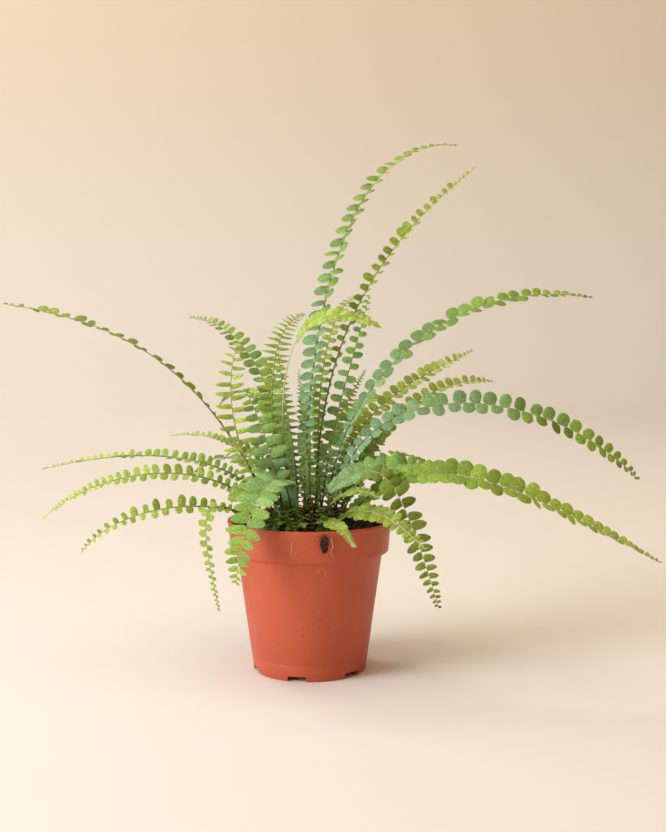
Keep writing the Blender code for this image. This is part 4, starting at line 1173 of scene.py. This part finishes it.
def make_litter():
    """Old stalk stubs, dry twigs, the crumb on the rim and the fine root beside it."""
    chance = random.Random(55)
    dry = rough_material("Dead stalk, weathered", (
        (0.30, linear("3A2614")), (0.52, linear("6E4F2C")), (0.75, linear("9A7A4C"))), 0.9, 0.7, 0.0002)
    for name in ("old_stalk_right", "old_stalk_front_right", "old_stalk_back_right"):
        low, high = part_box(name)
        foot = Vector(((low.x * 0.75 + high.x * 0.25), (low.y + high.y) / 2, low.z))
        head = Vector(((low.x * 0.25 + high.x * 0.75), (low.y + high.y) / 2, high.z - 0.0004))
        middle = (foot + head) / 2 + Vector((chance.gauss(0, 0.0004), chance.gauss(0, 0.0004), 0))
        rod = model_strand(name + "_rod", (foot, middle, head), 0.0012, 0.75)
        split = []
        for _ in range(4):
            way = Vector((chance.gauss(0, 1), chance.gauss(0, 1), 2.4)).normalized()
            end = head + way * chance.uniform(0.0004, 0.0016)
            split.append(model_strand("fray", (head - way * 0.002, head, end), 0.0003, 0.3))
        for obj in (rod, *split):
            dress(obj, dry)
        piece = join(name.replace("old_stalk", "fern_old_stalk"), [rod, *split])
        hand_over(piece, NODE_SLOTS[name], name)
    for name in ("dry_twig_long", "dry_twig_short"):
        low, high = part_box(name)
        near, far = low.y + 0.001, high.y - 0.001
        if name == "dry_twig_short":
            near, far = high.y - 0.001, low.y + 0.001
        start = Vector((low.x + 0.001, near, low.z + 0.0007))
        end = Vector((high.x - 0.001, far, high.z - 0.0006))
        run = []
        for i in range(7):
            stray = Vector((0, chance.gauss(0, 0.0005), chance.uniform(0, 0.0004)))
            run.append(start.lerp(end, i / 6) + stray)
        twig = model_strand(name + "_rod", run, 0.00065, 0.6)
        dress(twig, dry)
        piece = join(name.replace("dry_twig", "fern_dry_twig"), [twig])
        hand_over(piece, NODE_SLOTS[name], name)
    low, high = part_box("soil_crumb_on_rim")
    middle = (low + high) / 2
    half = (high - low) / 2
    lumps = [model_lump(f"crumb_{i}", 70 + i) for i in range(3)]
    places = []
    for _ in range(RIM_CRUMB_LUMPS):
        z = chance.uniform(-0.92, 0.92)
        wide = math.sqrt(1 - z * z) * (0.75 if z < 0 else 1.0)
        x = half.x * wide * chance.uniform(-0.9, 0.9)
        y = half.y * chance.uniform(-0.2, 0.55)
        places.append((middle + Vector((x, y, half.z * z)), chance.uniform(0.0006, 0.0013), 0.9))
    crumbs = scatter(lumps, places, chance)
    discard(*lumps)
    wet = rough_material("Peat crumb, damp", (
        (0.30, linear("130C08")), (0.52, linear("3A281B")), (0.74, linear("705640"))), 1.2, 0.9, 0.0004)
    for obj in crumbs:
        dress(obj, wet)
    piece = join("fern_rim_crumb", crumbs)
    hand_over(piece, NODE_SLOTS["soil_crumb_on_rim"], "soil_crumb_on_rim")
    low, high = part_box("fine_root_on_rim")
    middle = (low + high) / 2
    run = []
    for i in range(8):
        x = middle.x + chance.gauss(0, 0.0007)
        run.append(Vector((x, low.y + 0.0002, high.z + (low.z - high.z) * i / 7)))
    root = model_strand("root", run, 0.00028, 0.5)
    pale = rough_material("Fine root, bleached", (
        (0.3, linear("9A8462")), (0.7, linear("D9C8A6"))), 0.8, 0.7, 0.0001)
    dress(root, pale)
    piece = join("fern_rim_root", [root])
    hand_over(piece, NODE_SLOTS["fine_root_on_rim"], "fine_root_on_rim")


# ---------------------------------------------------------------- stage


def add_lamp(name, place, target, size, energy, colour):
    data = bpy.data.lights.new(name, "AREA")
    data.shape = "DISK"
    data.size = size
    data.energy = energy
    data.color = linear(colour)
    lamp = bpy.data.objects.new(name, data)
    lamp.location = place
    lamp.rotation_euler = (Vector(target) - Vector(place)).to_track_quat("-Z", "Y").to_euler()
    bpy.context.scene.collection.objects.link(lamp)


def make_stage():
    studio = settings().studio
    section = [(0, 0), (SWEEP_RADIUS - SWEEP_CURVE, 0)]
    for i in range(1, SWEEP_STEPS + 1):
        turn = math.radians(90 * i / SWEEP_STEPS)
        inward = SWEEP_CURVE * (1 - math.sin(turn))
        section.append((SWEEP_RADIUS - inward, SWEEP_CURVE * (1 - math.cos(turn))))
    sweep = turned("studio_sweep", section + [(SWEEP_RADIUS, SWEEP_HEIGHT)], SWEEP_SIDES)
    bpy.ops.object.shade_smooth()
    material, tree, shader = new_material("Seamless paper, matt", 0.95, 1.3)
    where = node(tree, "ShaderNodeTexCoord")
    split = node(tree, "ShaderNodeSeparateXYZ", links={0: where.outputs["Object"]})
    # the paper turns darker and warmer with height: partly its own tint, partly painted shade for the light
    # falling off up the wall
    rise = node(tree, "ShaderNodeMapRange", {**SMOOTH, 1: 0.0, 2: SWEEP_TINT_AND_FALLOFF_TOP, 3: 0.0, 4: 1.0},
                {0: split.outputs[2]})
    tint = node(tree, "ShaderNodeMix", {**MIX, 6: (*studio.floor, 1), 7: (*studio.backdrop, 1)},
                {0: rise.outputs[0]})
    tree.links.new(tint.outputs[2], shader.inputs["Base Color"])
    dress(sweep, material)

    world = bpy.data.worlds.new("Soft room light")
    bpy.context.scene.world = world
    world.use_nodes = True
    background = world.node_tree.nodes["Background"]
    background.inputs["Color"].default_value = (*linear(ROOM_COLOUR), 1)
    background.inputs["Strength"].default_value = studio.room
    add_lamp("Key, large softbox", KEY_PLACE, LIT_POINT, KEY_SIZE, studio.key, KEY_COLOUR)
    add_lamp("Ceiling bounce", CEILING_PLACE, LIT_POINT, CEILING_SIZE, studio.ceiling, CEILING_COLOUR)
    add_lamp("Backdrop wash", WASH_PLACE, WASHED_POINT, WASH_SIZE, studio.wash, WASH_COLOUR)

    data = bpy.data.cameras.new("Camera")
    camera = bpy.data.objects.new("Camera", data)
    data.sensor_width = 36
    data.lens = CAMERA_LENS
    data.clip_start = 0.01
    data.clip_end = 20
    camera.location = CAMERA_PLACE
    camera.rotation_euler = (math.radians(CAMERA_PITCH), 0, 0)
    bpy.context.scene.collection.objects.link(camera)
    bpy.context.scene.camera = camera
    bpy.context.scene.view_settings.view_transform = "Standard"
    bpy.context.scene.view_settings.look = "None"


# ---------------------------------------------------------------- settings, operators and panel


def colour_setting(name, description, hexed):
    """A colour that starts as the sRGB hex colour."""
    return bpy.props.FloatVectorProperty(
        name=name, description=description, subtype="COLOR", size=3, min=0, max=1, default=linear(hexed))


def power_setting(name, description, watts):
    """The power of a lamp in watts."""
    return bpy.props.FloatProperty(name=name, description=description, default=watts, min=0, unit="POWER")


class FoliageSettings(bpy.types.PropertyGroup):
    """Sizes and colours of the leaflets."""

    fill: bpy.props.FloatProperty(
        name="Leaflet fill", description="Leaflet size against its place on the midrib",
        default=1.0, min=0.5, max=1.3, subtype="FACTOR")
    mature: colour_setting("Mature", "Oldest, bluest leaflets", "92BE90")
    green: colour_setting("Green", "Grown leaflets", "96BA42")
    fresh: colour_setting("Fresh", "Young leaflets", "BCD054")
    dead: colour_setting("Withered", "Dead leaflets at a few tips", "8A5232")
    tip: colour_setting("Tip", "Newest leaflets, at the tips", "D8E484")


class PotSettings(bpy.types.PropertyGroup):
    """Finish of the pot."""

    colour: colour_setting("Plastic", "Colour of the moulded plastic", "C65633")


class GroundSettings(bpy.types.PropertyGroup):
    """What lies on top of the mix."""

    crumbs: bpy.props.IntProperty(
        name="Crumbs", description="Loose crumbs on the mix", default=520, min=0, max=900)
    fibres: bpy.props.IntProperty(
        name="Fibres", description="Dead root fibres on the mix", default=46, min=0, max=200)
    seedlings: bpy.props.IntProperty(
        name="Seedlings", description="Young ferns in the moss", default=64, min=0)
    moss_shoots: bpy.props.IntProperty(
        name="Moss shoots", description="Shoots in the moss cushion", default=240, min=0, max=500)


class StudioSettings(bpy.types.PropertyGroup):
    """Light and paper round the plant."""

    floor: colour_setting("Floor", "Paper colour where the pot stands", "ECE6DC")
    # the backdrop colour is darker and warmer than the floor: partly the paper's tint, partly painted shade
    # for the light falling off higher up
    backdrop: colour_setting("Backdrop", "Paper colour higher up", "E8D8C1")
    key: power_setting("Key", "Power of the main light", 32.0)
    ceiling: power_setting("Ceiling", "Warm light bounced from above", 28.0)
    wash: power_setting("Wash", "Power of the light on the backdrop", 62.0)
    room: bpy.props.FloatProperty(
        name="Room", description="Strength of the light from all round", default=0.16, min=0)


class FernSettings(bpy.types.PropertyGroup):
    """All settings of the potted fern."""

    foliage: bpy.props.PointerProperty(type=FoliageSettings)
    pot: bpy.props.PointerProperty(type=PotSettings)
    ground: bpy.props.PointerProperty(type=GroundSettings)
    studio: bpy.props.PointerProperty(type=StudioSettings)


class PotOperator(bpy.types.Operator):
    """Turns the nursery pot and cuts its drain slots"""

    bl_idname = "potted_fern.make_pot"
    bl_label = "Make pot"

    def execute(self, context):
        make_pot()
        return {"FINISHED"}


class SoilOperator(bpy.types.Operator):
    """Fills the pot with crumbled mix and fibres"""

    bl_idname = "potted_fern.make_soil"
    bl_label = "Make growing mix"

    def execute(self, context):
        make_soil()
        return {"FINISHED"}


class RhizomeOperator(bpy.types.Operator):
    """Makes the mound of rhizomes"""

    bl_idname = "potted_fern.make_rhizomes"
    bl_label = "Make rhizomes"

    def execute(self, context):
        make_rhizomes()
        return {"FINISHED"}


class MossOperator(bpy.types.Operator):
    """Makes the moss cushion"""

    bl_idname = "potted_fern.make_moss"
    bl_label = "Make moss"

    def execute(self, context):
        make_moss()
        return {"FINISHED"}


class LitterOperator(bpy.types.Operator):
    """Makes the old stalks, twigs, rim crumb and fine root"""

    bl_idname = "potted_fern.make_litter"
    bl_label = "Make litter"

    def execute(self, context):
        make_litter()
        return {"FINISHED"}


class FrondOperator(bpy.types.Operator):
    """Makes every frond, midrib and leaflets"""

    bl_idname = "potted_fern.make_fronds"
    bl_label = "Make fronds"

    def execute(self, context):
        make_fronds()
        return {"FINISHED"}


class StageOperator(bpy.types.Operator):
    """Makes the paper sweep, the lights and the camera"""

    bl_idname = "potted_fern.make_stage"
    bl_label = "Make stage"

    def execute(self, context):
        make_stage()
        return {"FINISHED"}


STEPS = (
    PotOperator, SoilOperator, RhizomeOperator, MossOperator, LitterOperator, FrondOperator, StageOperator,
)


class FernPanel(bpy.types.Panel):
    """Lists the settings and the steps of the potted fern"""

    bl_idname = "VIEW3D_PT_potted_fern"
    bl_label = "Potted fern"
    bl_space_type = "VIEW_3D"
    bl_region_type = "UI"
    bl_category = "Potted fern"

    def draw(self, context):
        groups = context.scene.potted_fern
        for group in (groups.foliage, groups.pot, groups.ground, groups.studio):
            box = self.layout.box()
            for name in group.__annotations__:
                box.prop(group, name)
        for step in STEPS:
            self.layout.operator(step.bl_idname)


CLASSES = (FoliageSettings, PotSettings, GroundSettings, StudioSettings, FernSettings, *STEPS, FernPanel)
NODE_SLOTS = slots_of_nodes()


def register():
    for cls in CLASSES:
        bpy.utils.register_class(cls)
    bpy.types.Scene.potted_fern = bpy.props.PointerProperty(type=FernSettings)


def unregister():
    del bpy.types.Scene.potted_fern
    for cls in reversed(CLASSES):
        bpy.utils.unregister_class(cls)


def main():
    register()
    for step in STEPS:
        group, call = step.bl_idname.split(".")
        getattr(getattr(bpy.ops, group), call)()


if __name__ == "__main__":
    main()
